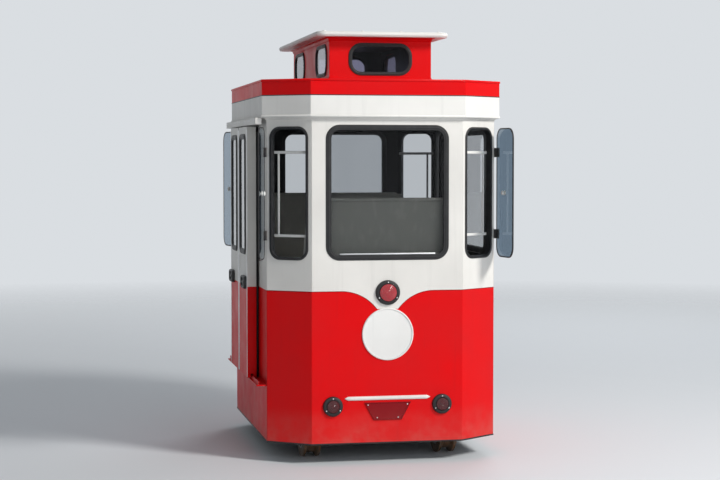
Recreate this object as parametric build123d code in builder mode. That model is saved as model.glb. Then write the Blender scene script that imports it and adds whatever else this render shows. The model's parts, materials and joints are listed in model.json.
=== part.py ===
from build123d import *
from math import atan2, cos, degrees, hypot, radians, sin
import os

# A four-seat elevated rail cabin: an octagonal body on a welded underframe with two
# flanged wheelsets, a sliding double door on its left side, four open corner sashes and a
# clerestory on the roof. Millimetres. The front end faces -Y, the cabin's left side is -X,
# +Z is up, and the origin is under the middle of the cabin at the foot of the wheels.

# Body plan: an octagon with long straight sides
WIDTH = 1500.0
LENGTH = 1920.0
CORNER_X = 260.0            # corner facet, measured across the cabin
CORNER_Y = 190.0            # corner facet, measured along the cabin
WALL = 30.0

# Heights above the foot of the wheels
SKIRT_FOOT = 130.0
FLOOR_TOP = 560.0
FLOOR_THICK = 30.0
WAIST = 1100.0              # where red meets cream
HEADER = 50.0               # cream wall over the tallest window
BAND_HEIGHT = 140.0
DECK_HEIGHT = 100.0
CLERESTORY_HEIGHT = 280.0
CAP_HEIGHT = 40.0

# Fixed windows: sizes over the black gasket
END_WINDOW_WIDTH = 790.0
END_WINDOW_HEIGHT = 850.0
END_WINDOW_FOOT = 1300.0
WINDOW_RADIUS = 85.0
SIDE_WINDOW_WIDTH = 1240.0
SIDE_WINDOW_HEIGHT = 820.0
SIDE_WINDOW_FOOT = 1310.0
GASKET_FACE = 28.0          # width of rubber around the glass
GASKET_PROUD = 6.0
GASKET_DEPTH = 20.0
GLASS_THICK = 6.0

# Corner openings, their guard bars and their open sashes
OPENING_WIDTH = 250.0
OPENING_HEIGHT = 820.0
OPENING_FOOT = 1310.0
OPENING_RADIUS = 60.0
GUARD_HEIGHT = 18.0
GUARD_THICK = 8.0
GUARD_LAP = 14.0            # a bar's end on the inside of the wall
GUARD_UPRIGHT = 14.0
GUARD_SHIFT = 90.0          # upright bar, from the middle of the opening towards the hinges
SASH_SIDE_LAP = 6.0         # a shut sash over the opening's sides
SASH_END_LAP = 8.0          # a shut sash over the opening's foot and head
SASH_THICK = 8.0
SASH_RADIUS = 70.0
SASH_CLEAR = 4.0            # from the barrel to the sash's edge
HINGE_HEIGHTS = (1450.0, 1980.0)
HINGE_RADIUS = 8.0
HINGE_LENGTH = 60.0
HINGE_STANDOFF = 4.0        # from the wall to the barrel
HINGE_PLATE = 4.0
HINGE_LEAF = 42.0
KNOB_RADIUS = 16.0
KNOB_LENGTH = 14.0

# Degrees that each open sash leans out from straight ahead, by side and end
SASH_FLARES = {(-1, -1): 16.0, (1, -1): 8.0, (-1, 1): 10.0, (1, 1): 10.0}

# Swoop of cream down into the red, the blank disc, the trim bar and the blank lower plate
SWOOP_HALF = 300.0
SWOOP_TIP_HALF = 70.0
SWOOP_DROP = 115.0
DISC_LAP = 5.0              # the disc's top over the swoop's tip
DISC_RADIUS = 165.0
DISC_THICK = 6.0
TRIM_HALF = 280.0
TRIM_HEIGHT = 417.0
TRIM_DEPTH = 26.0
TRIM_THICK = 8.0
PLATE_TOP_HALF = 150.0
PLATE_FOOT_HALF = 90.0
PLATE_HEIGHT = 110.0
PLATE_DROP = 16.0           # from the trim bar to the plate
PLATE_THICK = 5.0

# Lamps on one end: one above the disc, one at each tip of the trim bar
UPPER_LAMP_RADIUS = 75.0    # over the rim
UPPER_LAMP_RISE = 30.0      # from the swoop's tip to the rim
LOWER_LAMP_RADIUS = 60.0
LOWER_LAMP_GAP = 15.0       # from the trim bar's tip to the rim
LOWER_LAMP_HEIGHT = 370.0
RIM_WIDTH = 20.0
RIM_PROUD = 14.0
LENS_PROUD = 12.0

# Roof
BAND_OVERHANG = 30.0
BAND_INSET = 30.0
DECK_PLATE = 30.0
CLERESTORY_WIDTH = 670.0
CLERESTORY_LENGTH = 1460.0
CLERESTORY_WALL = 25.0
CAP_OVERHANG = 95.0
CAP_RADIUS = 60.0
CAP_BEVEL = 12.0
LIGHT_WIDTH = 415.0         # windows of the clerestory, over their rubber
LIGHT_HEIGHT = 206.0
LIGHT_RADIUS = 84.0
LIGHT_RUBBER = 20.0         # width of rubber around their glass
SIDE_LIGHT_PLACES = (-440.0, 440.0)

# Sliding doors on the left side
DOOR_HALF = 365.0           # half of the clear opening in the wall
DOOR_LAP = 60.0             # a leaf's top over the head of the doorway
LEAF_WIDTH = 420.0
LEAF_THICK = 60.0
LEAF_GAP = 22.0             # between the two leaves, without their rubber
NOSE = 8.0                  # rubber on each meeting edge
WALL_GAP = 20.0             # from the wall to the back of a leaf
LEAF_FOOT = 500.0
LEAF_DROP = 8.0             # from the top rail to a leaf
LEAF_WINDOW_WIDTH = 300.0
LEAF_WINDOW_HEIGHT = 790.0
LEAF_WINDOW_FOOT = 1310.0
LEAF_WINDOW_RADIUS = 55.0
DOOR_TRAVEL = 320.0         # of each leaf, outwards from the middle
GRIP_LENGTH = 180.0
GRIP_HEIGHT = 84.0
GRIP_PROUD = 22.0
GRIP_ROUND = 28.0
GRIP_BEVEL = 7.0
GRIP_INSET = 20.0           # from the leaf's outer edge
GRIP_LEVEL = 1125.0
RAIL_WIDTH = 42.0
RAIL_WALL = 4.0
RAIL_HEIGHT = 42.0
RAIL_SLOT = 14.0
RAIL_SPARE = 12.0           # rail past the end of an open leaf
HANGER_THICK = 4.0
HANGER_WIDTH = 50.0
HANGER_PLACES = (-135.0, 135.0)
SHOE_LENGTH = 34.0
SHOE_WIDTH = 20.0
SHOE_HEIGHT = 20.0
SHOE_GAP = 0.5              # from the shoe to the rail's lips
GROOVE_WIDTH = 16.0
GROOVE_DEPTH = 25.0
FIN_THICK = 4.0
FIN_LAP = 15.0
GUIDE_THICK = 8.0
GUIDE_CLEAR = 6.0
TREAD_PLATE = 4.0
TREAD_DEPTH = 70.0

# Seats
SEAT_HEIGHT = 400.0         # above the floor
SEAT_DEPTH = 440.0
SEAT_SKIN = 22.0
SEAT_ROUND = 9.0
SEAT_GAP = 4.0              # from the seat's edges to the guards
BACK_TOP = 1680.0
BACK_SETBACK = 12.0
BACK_LEAN = 60.0
RISER_LEAN = 30.0

# Running gear
GAUGE = 900.0
WHEELBASE = 1200.0
FLANGE_RADIUS = 185.0
TREAD_RADIUS = 158.0
TYRE_SEAT = 126.0
TYRE_WIDTH = 110.0
FLANGE_WIDTH = 16.0
TREAD_HALF = 22.0
RIM_STEP = 14.0
WEB_HALF = 18.0
HUB_HALF = 52.0
HUB_RADIUS = 50.0
AXLE_RADIUS = 28.0
JOURNAL_RADIUS = 22.0
JOURNAL_CLEARANCE = 0.06
BOX_LENGTH = 60.0
BOX_WIDTH = 130.0
BOX_CORNER = 30.0
SOLE_PLACE = 560.0
SOLE_WIDTH = 80.0
SOLE_HEIGHT = 100.0
SOLE_SETBACK = 102.0        # from an end wall's inside to the underframe
CROSS_WIDTH = 60.0
CROSS_PLACE = 300.0
TOW_WIDTH = 90.0
TOW_THICK = 20.0
TOW_FOOT = 150.0
TOW_LENGTH = 115.0
TOW_BORE = 15.0
TOW_ROUND = 12.0
PAD_SIZE = 90.0
PAD_THICK = 15.0
PAD_PLACE = 150.0
MOTOR_LENGTH = 320.0
MOTOR_WIDTH = 300.0
MOTOR_HEIGHT = 220.0
COLLECTOR_PLATE = 20.0
COLLECTOR_WIDTH = 120.0
ARM_WIDTH = 24.0
ARM_DEPTH = 40.0
CONTACT_FOOT = 100.0
CONTACT_HEIGHT = 30.0
CONTACT_WIDTH = 50.0
CONTACT_LENGTH = 220.0

# Worked out from the sizes above
HALF_WIDTH = WIDTH / 2
HALF_LENGTH = LENGTH / 2
SIDE_HALF = HALF_LENGTH - CORNER_Y
FACET = hypot(CORNER_X, CORNER_Y)
FLOOR_FOOT = FLOOR_TOP - FLOOR_THICK
WALL_TOP = HEADER + max(
    END_WINDOW_FOOT + END_WINDOW_HEIGHT,
    SIDE_WINDOW_FOOT + SIDE_WINDOW_HEIGHT,
    OPENING_FOOT + OPENING_HEIGHT,
)
SASH_WIDTH = OPENING_WIDTH + 2 * SASH_SIDE_LAP
SASH_HEIGHT = OPENING_HEIGHT + 2 * SASH_END_LAP
SWOOP_TIP = WAIST - SWOOP_DROP
DISC_HEIGHT = SWOOP_TIP + DISC_LAP - DISC_RADIUS
LOWER_LAMP_PLACE = TRIM_HALF + LOWER_LAMP_GAP + LOWER_LAMP_RADIUS
BAND_TOP = WALL_TOP + BAND_HEIGHT
DECK_TOP = BAND_TOP + DECK_HEIGHT
CLERESTORY_TOP = DECK_TOP + CLERESTORY_HEIGHT
LEAF_BACK = HALF_WIDTH + WALL_GAP
LEAF_FACE = LEAF_BACK + LEAF_THICK
LEAF_CENTRE = (LEAF_BACK + LEAF_FACE) / 2
LEAF_MIDDLE = (LEAF_GAP + LEAF_WIDTH) / 2
RAIL_HALF = LEAF_GAP / 2 + LEAF_WIDTH + DOOR_TRAVEL + RAIL_SPARE
RAIL_FOOT = WALL_TOP - RAIL_HEIGHT
LEAF_TOP = RAIL_FOOT - LEAF_DROP
DOOR_HEAD = LEAF_TOP - DOOR_LAP
AXLE_HEIGHT = FLANGE_RADIUS
SOLE_FOOT = FLOOR_FOOT - SOLE_HEIGHT
SOLE_HALF = HALF_LENGTH - WALL - SOLE_SETBACK
HEADSTOCK_PLACE = SOLE_HALF - CROSS_WIDTH / 2

# Lamps of one end: offset from the middle, height, radius over the rim
UPPER_LAMP = (0.0, SWOOP_TIP + UPPER_LAMP_RISE + UPPER_LAMP_RADIUS, UPPER_LAMP_RADIUS)
LOWER_LAMPS = tuple((side * LOWER_LAMP_PLACE, LOWER_LAMP_HEIGHT, LOWER_LAMP_RADIUS) for side in (-1, 1))
LAMPS = (UPPER_LAMP, *LOWER_LAMPS)

ENDS = (("front", -1), ("rear", 1))
CORNERS = (
    ("front_left", -1, -1),
    ("front_right", 1, -1),
    ("rear_left", -1, 1),
    ("rear_right", 1, 1),
)

# Walls of the octagon, named in the order in which plan_corners goes round it
WALLS = ("right", "rear_right", "rear", "rear_left", "left", "front_left", "front", "front_right")

os.makedirs("parts", exist_ok=True)


def save(builder, name):
    """Label a finished piece and write it under its name."""
    builder.part.label = name
    export_step(builder.part, f"parts/{name}.step")


def plan_corners(grow):
    """Corners of the octagonal plan with every side moved out by grow."""
    x_side = HALF_WIDTH + grow
    y_side = SIDE_HALF + grow * (FACET - CORNER_Y) / CORNER_X
    x_end = HALF_WIDTH - CORNER_X + grow * (FACET - CORNER_X) / CORNER_Y
    y_end = HALF_LENGTH + grow
    return [
        (x_side, -y_side), (x_side, y_side), (x_end, y_end), (-x_end, y_end),
        (-x_side, y_side), (-x_side, -y_side), (-x_end, -y_end), (x_end, -y_end),
    ]


def wall_block(names, foot, top):
    """Walls of the octagon between two heights, mitred where they meet other walls."""
    outer = plan_corners(0)
    inner = plan_corners(-WALL)
    with BuildSketch(Plane.XY.offset(foot)) as outline:
        for name in names:
            start = WALLS.index(name)
            stop = (start + 1) % len(WALLS)
            Polygon(outer[start], outer[stop], inner[stop], inner[start])
    extrude(outline.sketch, amount=top - foot)


def plan_ring(outer, inner, foot, height):
    """Ring between two growths of the plan, added to the open part."""
    with BuildSketch(Plane.XY.offset(foot)) as outline:
        Polygon(*plan_corners(outer))
        Polygon(*plan_corners(inner), mode=Mode.SUBTRACT)
    extrude(outline.sketch, amount=height)


def upright(x, y, facing):
    """Upright plane through (x, y) that faces a direction in degrees from +X; its Y is up."""
    out_x = cos(radians(facing))
    out_y = sin(radians(facing))
    return Plane(origin=(x, y, 0), x_dir=(-out_y, out_x, 0), z_dir=(out_x, out_y, 0))


def end_plane(end, reach=HALF_LENGTH):
    """Upright plane on the outside of the front (-1) or rear (1) end."""
    return upright(0, end * reach, 90 * end)


def side_plane(side, reach=HALF_WIDTH, y=0.0):
    """Upright plane on the outside of the left (-1) or right (1) wall."""
    return upright(side * reach, y, 90 - 90 * side)


def facet_plane(side, end, depth=0.0):
    """Upright plane in the middle of a corner facet, depth inside its outer face."""
    turn = degrees(atan2(end * CORNER_X, side * CORNER_Y))
    x = side * (HALF_WIDTH - CORNER_X / 2) - depth * cos(radians(turn))
    y = end * (HALF_LENGTH - CORNER_Y / 2) - depth * sin(radians(turn))
    return upright(x, y, turn)


def block(x, y, foot, size_x, size_y, height, mode=Mode.ADD):
    """Upright block with its middle over (x, y), in the open part."""
    with BuildSketch(Plane.XY.offset(foot)) as outline:
        with Locations((x, y)):
            Rectangle(size_x, size_y)
    extrude(outline.sketch, amount=height, mode=mode)


def window_shape(window, grow=0.0, mode=Mode.ADD):
    """Round-cornered outline of a window, moved out by grow, in the open sketch."""
    plane, width, height, foot, radius = window
    with Locations((0, foot + height / 2)):
        RectangleRounded(width + 2 * grow, height + 2 * grow, radius + grow, mode=mode)


def cut_window(window, wall):
    """Cut a window's hole through the wall of the open part."""
    with BuildSketch(window[0]) as hole:
        window_shape(window)
    extrude(hole.sketch, amount=-wall, mode=Mode.SUBTRACT)


def add_gasket(window, face=GASKET_FACE):
    """Rubber ring that fills the edge of a window's hole and stands a little proud."""
    with BuildSketch(window[0].offset(-GASKET_DEPTH)) as ring:
        window_shape(window)
        window_shape(window, -face, Mode.SUBTRACT)
    extrude(ring.sketch, amount=GASKET_DEPTH + GASKET_PROUD)


def add_glass(window, face=GASKET_FACE):
    """Pane inside a window's rubber ring, flush with the wall."""
    with BuildSketch(window[0]) as pane:
        window_shape(window, -face)
    extrude(pane.sketch, amount=-GLASS_THICK)


def swoop(end):
    """Sketch of the cream tongue that dips from the waist to the disc."""
    arc_radius = ((SWOOP_HALF - SWOOP_TIP_HALF) ** 2 + SWOOP_DROP ** 2) / (2 * SWOOP_DROP)
    with BuildSketch(end_plane(end)) as tongue:
        with BuildLine():
            left = RadiusArc((-SWOOP_HALF, WAIST), (-SWOOP_TIP_HALF, SWOOP_TIP), arc_radius)
            foot = Line(left @ 1, (SWOOP_TIP_HALF, SWOOP_TIP))
            right = RadiusArc(foot @ 1, (SWOOP_HALF, WAIST), arc_radius)
            Line(right @ 1, left @ 0)
        make_face()
    return tongue.sketch


# Fixed windows of the body: plane, width, height, foot, corner radius
END_WINDOWS = {
    name: (end_plane(end), END_WINDOW_WIDTH, END_WINDOW_HEIGHT, END_WINDOW_FOOT, WINDOW_RADIUS)
    for name, end in ENDS
}
SIDE_WINDOW = (
    side_plane(1), SIDE_WINDOW_WIDTH, SIDE_WINDOW_HEIGHT, SIDE_WINDOW_FOOT, WINDOW_RADIUS,
)
BODY_WINDOWS = (*END_WINDOWS.values(), SIDE_WINDOW)

# Red end panels, each wrapped round two corner facets, and cream frames above them
for name, end in ENDS:
    with BuildPart() as end_panel:
        wall_block((f"{name}_left", name, f"{name}_right"), SKIRT_FOOT, WAIST)
        extrude(swoop(end), amount=-WALL, mode=Mode.SUBTRACT)
    save(end_panel, f"end_panel_{name}")

    with BuildPart() as end_frame:
        wall_block((name,), WAIST, WALL_TOP)
        extrude(swoop(end), amount=-WALL)
        cut_window(END_WINDOWS[name], WALL)
    save(end_frame, f"end_frame_{name}")

# Cream corner frames with their open windows
with BuildPart() as corner_frames:
    for name, side, end in CORNERS:
        wall_block((name,), WAIST, WALL_TOP)
        corner_opening = (
            facet_plane(side, end), OPENING_WIDTH, OPENING_HEIGHT, OPENING_FOOT, OPENING_RADIUS,
        )
        cut_window(corner_opening, WALL)
save(corner_frames, "corner_frames")


def cut_doorway():
    """Cut the doorway through the left wall of the open part."""
    with BuildSketch(side_plane(-1)) as doorway:
        with Locations((0, (FLOOR_TOP + DOOR_HEAD) / 2)):
            Rectangle(2 * DOOR_HALF, DOOR_HEAD - FLOOR_TOP)
    extrude(doorway.sketch, amount=-WALL, mode=Mode.SUBTRACT)


# Side walls: red panels below the waist, cream frames above it
with BuildPart() as side_panel_left:
    wall_block(("left",), SKIRT_FOOT, WAIST)
    cut_doorway()
save(side_panel_left, "side_panel_left")

with BuildPart() as side_panel_right:
    wall_block(("right",), SKIRT_FOOT, WAIST)
save(side_panel_right, "side_panel_right")

with BuildPart() as side_frame_left:
    wall_block(("left",), WAIST, WALL_TOP)
    cut_doorway()
save(side_frame_left, "side_frame_left")

with BuildPart() as side_frame_right:
    wall_block(("right",), WAIST, WALL_TOP)
    cut_window(SIDE_WINDOW, WALL)
save(side_frame_right, "side_frame_right")

# Tread plate on the threshold of the doorway
with BuildPart() as door_tread:
    block(-(HALF_WIDTH - TREAD_DEPTH / 2), 0, FLOOR_TOP, TREAD_DEPTH, 2 * DOOR_HALF, TREAD_PLATE)
save(door_tread, "door_tread")

# Glazing of the body
with BuildPart() as window_glass:
    for window in BODY_WINDOWS:
        add_glass(window)
save(window_glass, "window_glass")

with BuildPart() as window_gaskets:
    for window in BODY_WINDOWS:
        add_gasket(window)
save(window_gaskets, "window_gaskets")


# Corner sashes, folded open on their hinges
def hinge_place(side, end):
    """Centre of the hinge barrels at a corner of the side wall."""
    return side * (HALF_WIDTH + HINGE_STANDOFF + HINGE_RADIUS), end * (SIDE_HALF + HINGE_RADIUS)


def sash_plane(side, end, lift=0.0):
    """Upright plane along an open sash: X runs from the hinge to the free edge."""
    x, y = hinge_place(side, end)
    flare = radians(SASH_FLARES[side, end])
    along_x = side * sin(flare)
    along_y = end * cos(flare)
    out_x = side * cos(flare)
    out_y = -end * sin(flare)
    origin = (x + lift * out_x, y + lift * out_y, 0)
    return Plane(origin=origin, x_dir=(along_x, along_y, 0), z_dir=(out_x, out_y, 0))


def sash_height(side, end, height):
    """A height in the sash plane, whose Y points down on two of the corners."""
    return side * end * height


SASH_MIDDLE = HINGE_RADIUS + SASH_CLEAR + SASH_WIDTH / 2
SASH_LEVEL = OPENING_FOOT + OPENING_HEIGHT / 2

with BuildPart() as window_sashes:
    for name, side, end in CORNERS:
        with BuildSketch(sash_plane(side, end, -SASH_THICK / 2)):
            with Locations((SASH_MIDDLE, sash_height(side, end, SASH_LEVEL))):
                RectangleRounded(SASH_WIDTH, SASH_HEIGHT, SASH_RADIUS)
        extrude(amount=SASH_THICK)
save(window_sashes, "window_sashes")

with BuildPart() as window_knobs:
    for name, side, end in CORNERS:
        with BuildSketch(sash_plane(side, end, -SASH_THICK / 2)):
            with Locations((SASH_MIDDLE, sash_height(side, end, SASH_LEVEL))):
                Circle(KNOB_RADIUS)
        extrude(amount=-KNOB_LENGTH)
save(window_knobs, "window_knobs")

with BuildPart() as window_hinges:
    for name, side, end in CORNERS:
        barrel_x, barrel_y = hinge_place(side, end)
        for height in HINGE_HEIGHTS:
            with BuildSketch(Plane.XY.offset(height - HINGE_LENGTH / 2)):
                with Locations((barrel_x, barrel_y)):
                    Circle(HINGE_RADIUS)
                # fixed leaf, flat on the side wall, and the strap from it to the barrel
                with Locations((side * (HALF_WIDTH + HINGE_STANDOFF / 2), barrel_y - end * HINGE_LEAF / 2)):
                    Rectangle(HINGE_STANDOFF, HINGE_LEAF)
                with Locations((side * (HALF_WIDTH + HINGE_STANDOFF), barrel_y)):
                    Rectangle(2 * HINGE_STANDOFF, HINGE_RADIUS)
            extrude(amount=HINGE_LENGTH)
            # moving leaf, flat on the outside of the sash
            with BuildSketch(sash_plane(side, end, SASH_THICK / 2)):
                with Locations(((HINGE_LEAF + HINGE_RADIUS) / 2, sash_height(side, end, height))):
                    Rectangle(HINGE_LEAF, HINGE_LENGTH)
            extrude(amount=HINGE_PLATE)
save(window_hinges, "window_hinges")

# Guard bars inside the corner openings: two bars across and one upright
with BuildPart() as window_guards:
    guard_span = HINGE_HEIGHTS[1] - HINGE_HEIGHTS[0]
    for name, side, end in CORNERS:
        with BuildSketch(facet_plane(side, end, WALL)):
            for height in HINGE_HEIGHTS:
                with Locations((0, height)):
                    Rectangle(OPENING_WIDTH + 2 * GUARD_LAP, GUARD_HEIGHT)
            with Locations((-side * end * GUARD_SHIFT, sum(HINGE_HEIGHTS) / 2)):
                Rectangle(GUARD_UPRIGHT, guard_span)
        extrude(amount=-GUARD_THICK)
save(window_guards, "window_guards")

# Roof: white band, red deck, clerestory and its cap
with BuildPart() as cornice_band:
    plan_ring(BAND_OVERHANG, -BAND_INSET, WALL_TOP, BAND_HEIGHT)
save(cornice_band, "cornice_band")

LANTERN_WIDTH = CLERESTORY_WIDTH - 2 * CLERESTORY_WALL
LANTERN_LENGTH = CLERESTORY_LENGTH - 2 * CLERESTORY_WALL

with BuildPart() as roof_deck:
    plan_ring(BAND_OVERHANG, -BAND_INSET, BAND_TOP, DECK_HEIGHT)
    with BuildSketch(Plane.XY.offset(DECK_TOP - DECK_PLATE)):
        Polygon(*plan_corners(0))
        Rectangle(LANTERN_WIDTH, LANTERN_LENGTH, mode=Mode.SUBTRACT)
    extrude(amount=DECK_PLATE)
save(roof_deck, "roof_deck")

# Clerestory windows: plane, width, height, foot, corner radius
LIGHT_FOOT = DECK_TOP + (CLERESTORY_HEIGHT - LIGHT_HEIGHT) / 2
LIGHT_PLANES = [end_plane(end, CLERESTORY_LENGTH / 2) for name, end in ENDS]
LIGHT_PLANES += [
    side_plane(side, CLERESTORY_WIDTH / 2, place) for side in (-1, 1) for place in SIDE_LIGHT_PLACES
]
LIGHTS = [(plane, LIGHT_WIDTH, LIGHT_HEIGHT, LIGHT_FOOT, LIGHT_RADIUS) for plane in LIGHT_PLANES]

with BuildPart() as clerestory_walls:
    block(0, 0, DECK_TOP, CLERESTORY_WIDTH, CLERESTORY_LENGTH, CLERESTORY_HEIGHT)
    block(0, 0, DECK_TOP, LANTERN_WIDTH, LANTERN_LENGTH, CLERESTORY_HEIGHT, Mode.SUBTRACT)
    for light in LIGHTS:
        cut_window(light, CLERESTORY_WALL)
save(clerestory_walls, "clerestory_walls")

with BuildPart() as clerestory_glass:
    for light in LIGHTS:
        add_glass(light, LIGHT_RUBBER)
save(clerestory_glass, "clerestory_glass")

with BuildPart() as clerestory_gaskets:
    for light in LIGHTS:
        add_gasket(light, LIGHT_RUBBER)
save(clerestory_gaskets, "clerestory_gaskets")

with BuildPart() as clerestory_cap:
    with BuildSketch(Plane.XY.offset(CLERESTORY_TOP)):
        RectangleRounded(
            CLERESTORY_WIDTH + 2 * CAP_OVERHANG, CLERESTORY_LENGTH + 2 * CAP_OVERHANG, CAP_RADIUS,
        )
    extrude(amount=CAP_HEIGHT)
    chamfer(clerestory_cap.faces().sort_by(Axis.Z)[-1].edges(), CAP_BEVEL)
save(clerestory_cap, "clerestory_cap")


def on_ends(shape, thick, lift=0.0):
    """Add a shape, drawn by a function, to the outside of both ends."""
    for name, end in ENDS:
        with BuildSketch(end_plane(end, HALF_LENGTH + lift)) as outline:
            shape()
        extrude(outline.sketch, amount=thick)


def rim_shape():
    """Round rims of the lamps of one end."""
    for x, height, radius in LAMPS:
        with Locations((x, height)):
            Circle(radius)


def upper_lens_shape():
    """Round lens of the upper lamp of one end."""
    x, height, radius = UPPER_LAMP
    with Locations((x, height)):
        Circle(radius - RIM_WIDTH)


def lower_lens_shape():
    """Round lenses of the two lower lamps of one end."""
    for x, height, radius in LOWER_LAMPS:
        with Locations((x, height)):
            Circle(radius - RIM_WIDTH)


def disc_shape():
    """Blank round disc under the swoop."""
    with Locations((0, DISC_HEIGHT)):
        Circle(DISC_RADIUS)


def trim_shape():
    """Straight trim bar between the lower lamps."""
    with Locations((0, TRIM_HEIGHT)):
        Rectangle(2 * TRIM_HALF, TRIM_DEPTH)


def plate_shape():
    """Blank tapered plate under the trim bar."""
    top = TRIM_HEIGHT - TRIM_DEPTH / 2 - PLATE_DROP
    foot = top - PLATE_HEIGHT
    Polygon((-PLATE_FOOT_HALF, foot), (PLATE_FOOT_HALF, foot), (PLATE_TOP_HALF, top), (-PLATE_TOP_HALF, top))


# Fittings of both ends: name, shape, thickness, distance in front of the wall
END_FITTINGS = (
    ("lamp_rims", rim_shape, RIM_PROUD, 0.0),
    ("lamp_lenses", upper_lens_shape, LENS_PROUD, RIM_PROUD),
    ("lower_lenses", lower_lens_shape, LENS_PROUD, RIM_PROUD),
    ("number_discs", disc_shape, DISC_THICK, 0.0),
    ("lower_trim", trim_shape, TRIM_THICK, 0.0),
    ("lower_plates", plate_shape, PLATE_THICK, 0.0),
)
for name, shape, thick, lift in END_FITTINGS:
    with BuildPart() as end_fitting:
        on_ends(shape, thick, lift)
    save(end_fitting, name)

# Sliding door leaves: red panel, cream frame with glass and hangers, rubber and grip
SHOE_FOOT = RAIL_FOOT + RAIL_WALL + SHOE_GAP

for name, end in ENDS:
    leaf_plane = side_plane(-1, LEAF_FACE, end * LEAF_MIDDLE)
    leaf_window = (
        leaf_plane, LEAF_WINDOW_WIDTH, LEAF_WINDOW_HEIGHT, LEAF_WINDOW_FOOT, LEAF_WINDOW_RADIUS,
    )
    with BuildPart() as door_panel:
        block(-LEAF_CENTRE, end * LEAF_MIDDLE, LEAF_FOOT, LEAF_THICK, LEAF_WIDTH, WAIST - LEAF_FOOT)
        block(
            -LEAF_CENTRE, end * LEAF_MIDDLE, LEAF_FOOT,
            GROOVE_WIDTH, LEAF_WIDTH, GROOVE_DEPTH, Mode.SUBTRACT,
        )
    save(door_panel, f"door_panel_{name}")

    with BuildPart() as door_frame:
        block(-LEAF_CENTRE, end * LEAF_MIDDLE, WAIST, LEAF_THICK, LEAF_WIDTH, LEAF_TOP - WAIST)
        cut_window(leaf_window, LEAF_THICK)
        for place in HANGER_PLACES:
            hanger_y = end * LEAF_MIDDLE + place
            block(-LEAF_CENTRE, hanger_y, LEAF_TOP, HANGER_THICK, HANGER_WIDTH, SHOE_FOOT - LEAF_TOP)
            block(-LEAF_CENTRE, hanger_y, SHOE_FOOT, SHOE_WIDTH, SHOE_LENGTH, SHOE_HEIGHT)
    save(door_frame, f"door_frame_{name}")

    with BuildPart() as door_glass:
        add_glass(leaf_window)
    save(door_glass, f"door_glass_{name}")

    with BuildPart() as door_seals:
        add_gasket(leaf_window)
        nose_foot = LEAF_FOOT + GROOVE_DEPTH
        nose_y = end * (LEAF_GAP - NOSE) / 2
        block(-LEAF_CENTRE, nose_y, nose_foot, LEAF_THICK, NOSE, LEAF_TOP - nose_foot)
    save(door_seals, f"door_seals_{name}")

    with BuildPart() as door_grip:
        grip_x = -end * ((LEAF_WIDTH - GRIP_LENGTH) / 2 - GRIP_INSET)
        with BuildSketch(leaf_plane):
            with Locations((grip_x, GRIP_LEVEL)):
                RectangleRounded(GRIP_LENGTH, GRIP_HEIGHT, GRIP_ROUND)
        extrude(amount=GRIP_PROUD)
        chamfer(door_grip.faces().sort_by(Axis.X)[0].edges(), GRIP_BEVEL)
    save(door_grip, f"door_grip_{name}")

# Top rail: an inverted channel with two lips, on a flange from the wall
with BuildPart() as door_rail_top:
    block(-LEAF_CENTRE, 0, RAIL_FOOT, RAIL_WIDTH, 2 * RAIL_HALF, RAIL_HEIGHT)
    block(
        -LEAF_CENTRE, 0, RAIL_FOOT + RAIL_WALL,
        RAIL_WIDTH - 2 * RAIL_WALL, 2 * RAIL_HALF, RAIL_HEIGHT - 2 * RAIL_WALL, Mode.SUBTRACT,
    )
    block(-LEAF_CENTRE, 0, RAIL_FOOT, RAIL_SLOT, 2 * RAIL_HALF, RAIL_WALL, Mode.SUBTRACT)
    flange_reach = LEAF_CENTRE - RAIL_WIDTH / 2 - HALF_WIDTH
    block(
        -(HALF_WIDTH + flange_reach / 2), 0, WALL_TOP - RAIL_WALL,
        flange_reach, 2 * RAIL_HALF, RAIL_WALL,
    )
save(door_rail_top, "door_rail_top")

# Bottom guide: a shelf on the wall with a fin that stands in the leaves' grooves
with BuildPart() as door_rail_bottom:
    shelf_top = LEAF_FOOT - GUIDE_CLEAR
    shelf_reach = LEAF_CENTRE + GROOVE_WIDTH - HALF_WIDTH
    block(
        -(HALF_WIDTH + shelf_reach / 2), 0, shelf_top - GUIDE_THICK,
        shelf_reach, 2 * RAIL_HALF, GUIDE_THICK,
    )
    block(-LEAF_CENTRE, 0, shelf_top, FIN_THICK, 2 * RAIL_HALF, GUIDE_CLEAR + FIN_LAP)
save(door_rail_bottom, "door_rail_bottom")

# Floor and benches
with BuildPart() as floor_panel:
    with BuildSketch(Plane.XY.offset(FLOOR_FOOT)):
        Polygon(*plan_corners(-WALL))
    extrude(amount=FLOOR_THICK)
save(floor_panel, "floor_panel")

for name, end in ENDS:
    back_y = HALF_LENGTH - WALL - BACK_SETBACK
    seat_top = FLOOR_TOP + SEAT_HEIGHT
    seat_y = back_y - BACK_LEAN
    nose_y = seat_y - SEAT_DEPTH
    # side view of the seat moulding: distance from the middle of the cabin, height
    seat_outline = (
        (back_y, BACK_TOP),
        (back_y - SEAT_SKIN, BACK_TOP),
        (seat_y, seat_top),
        (nose_y, seat_top),
        (nose_y + RISER_LEAN, FLOOR_TOP),
        (nose_y + RISER_LEAN + SEAT_SKIN, FLOOR_TOP),
        (nose_y + SEAT_SKIN, seat_top - SEAT_SKIN),
        (seat_y + SEAT_SKIN, seat_top - SEAT_SKIN),
    )
    with BuildPart() as bench:
        with BuildSketch(Plane.YZ.offset(-HALF_WIDTH)) as seat_side:
            Polygon(*[(end * y, z) for y, z in seat_outline])
            fillet(seat_side.vertices().filter_by(lambda v: v.Z > FLOOR_TOP + SEAT_SKIN), SEAT_ROUND)
        extrude(amount=WIDTH)
        with BuildSketch(Plane.XY.offset(FLOOR_TOP)):
            Polygon(*plan_corners(-WALL - GUARD_THICK - SEAT_GAP))
        extrude(amount=WALL_TOP - FLOOR_TOP, mode=Mode.INTERSECT)
    save(bench, f"bench_{name}")

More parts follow.
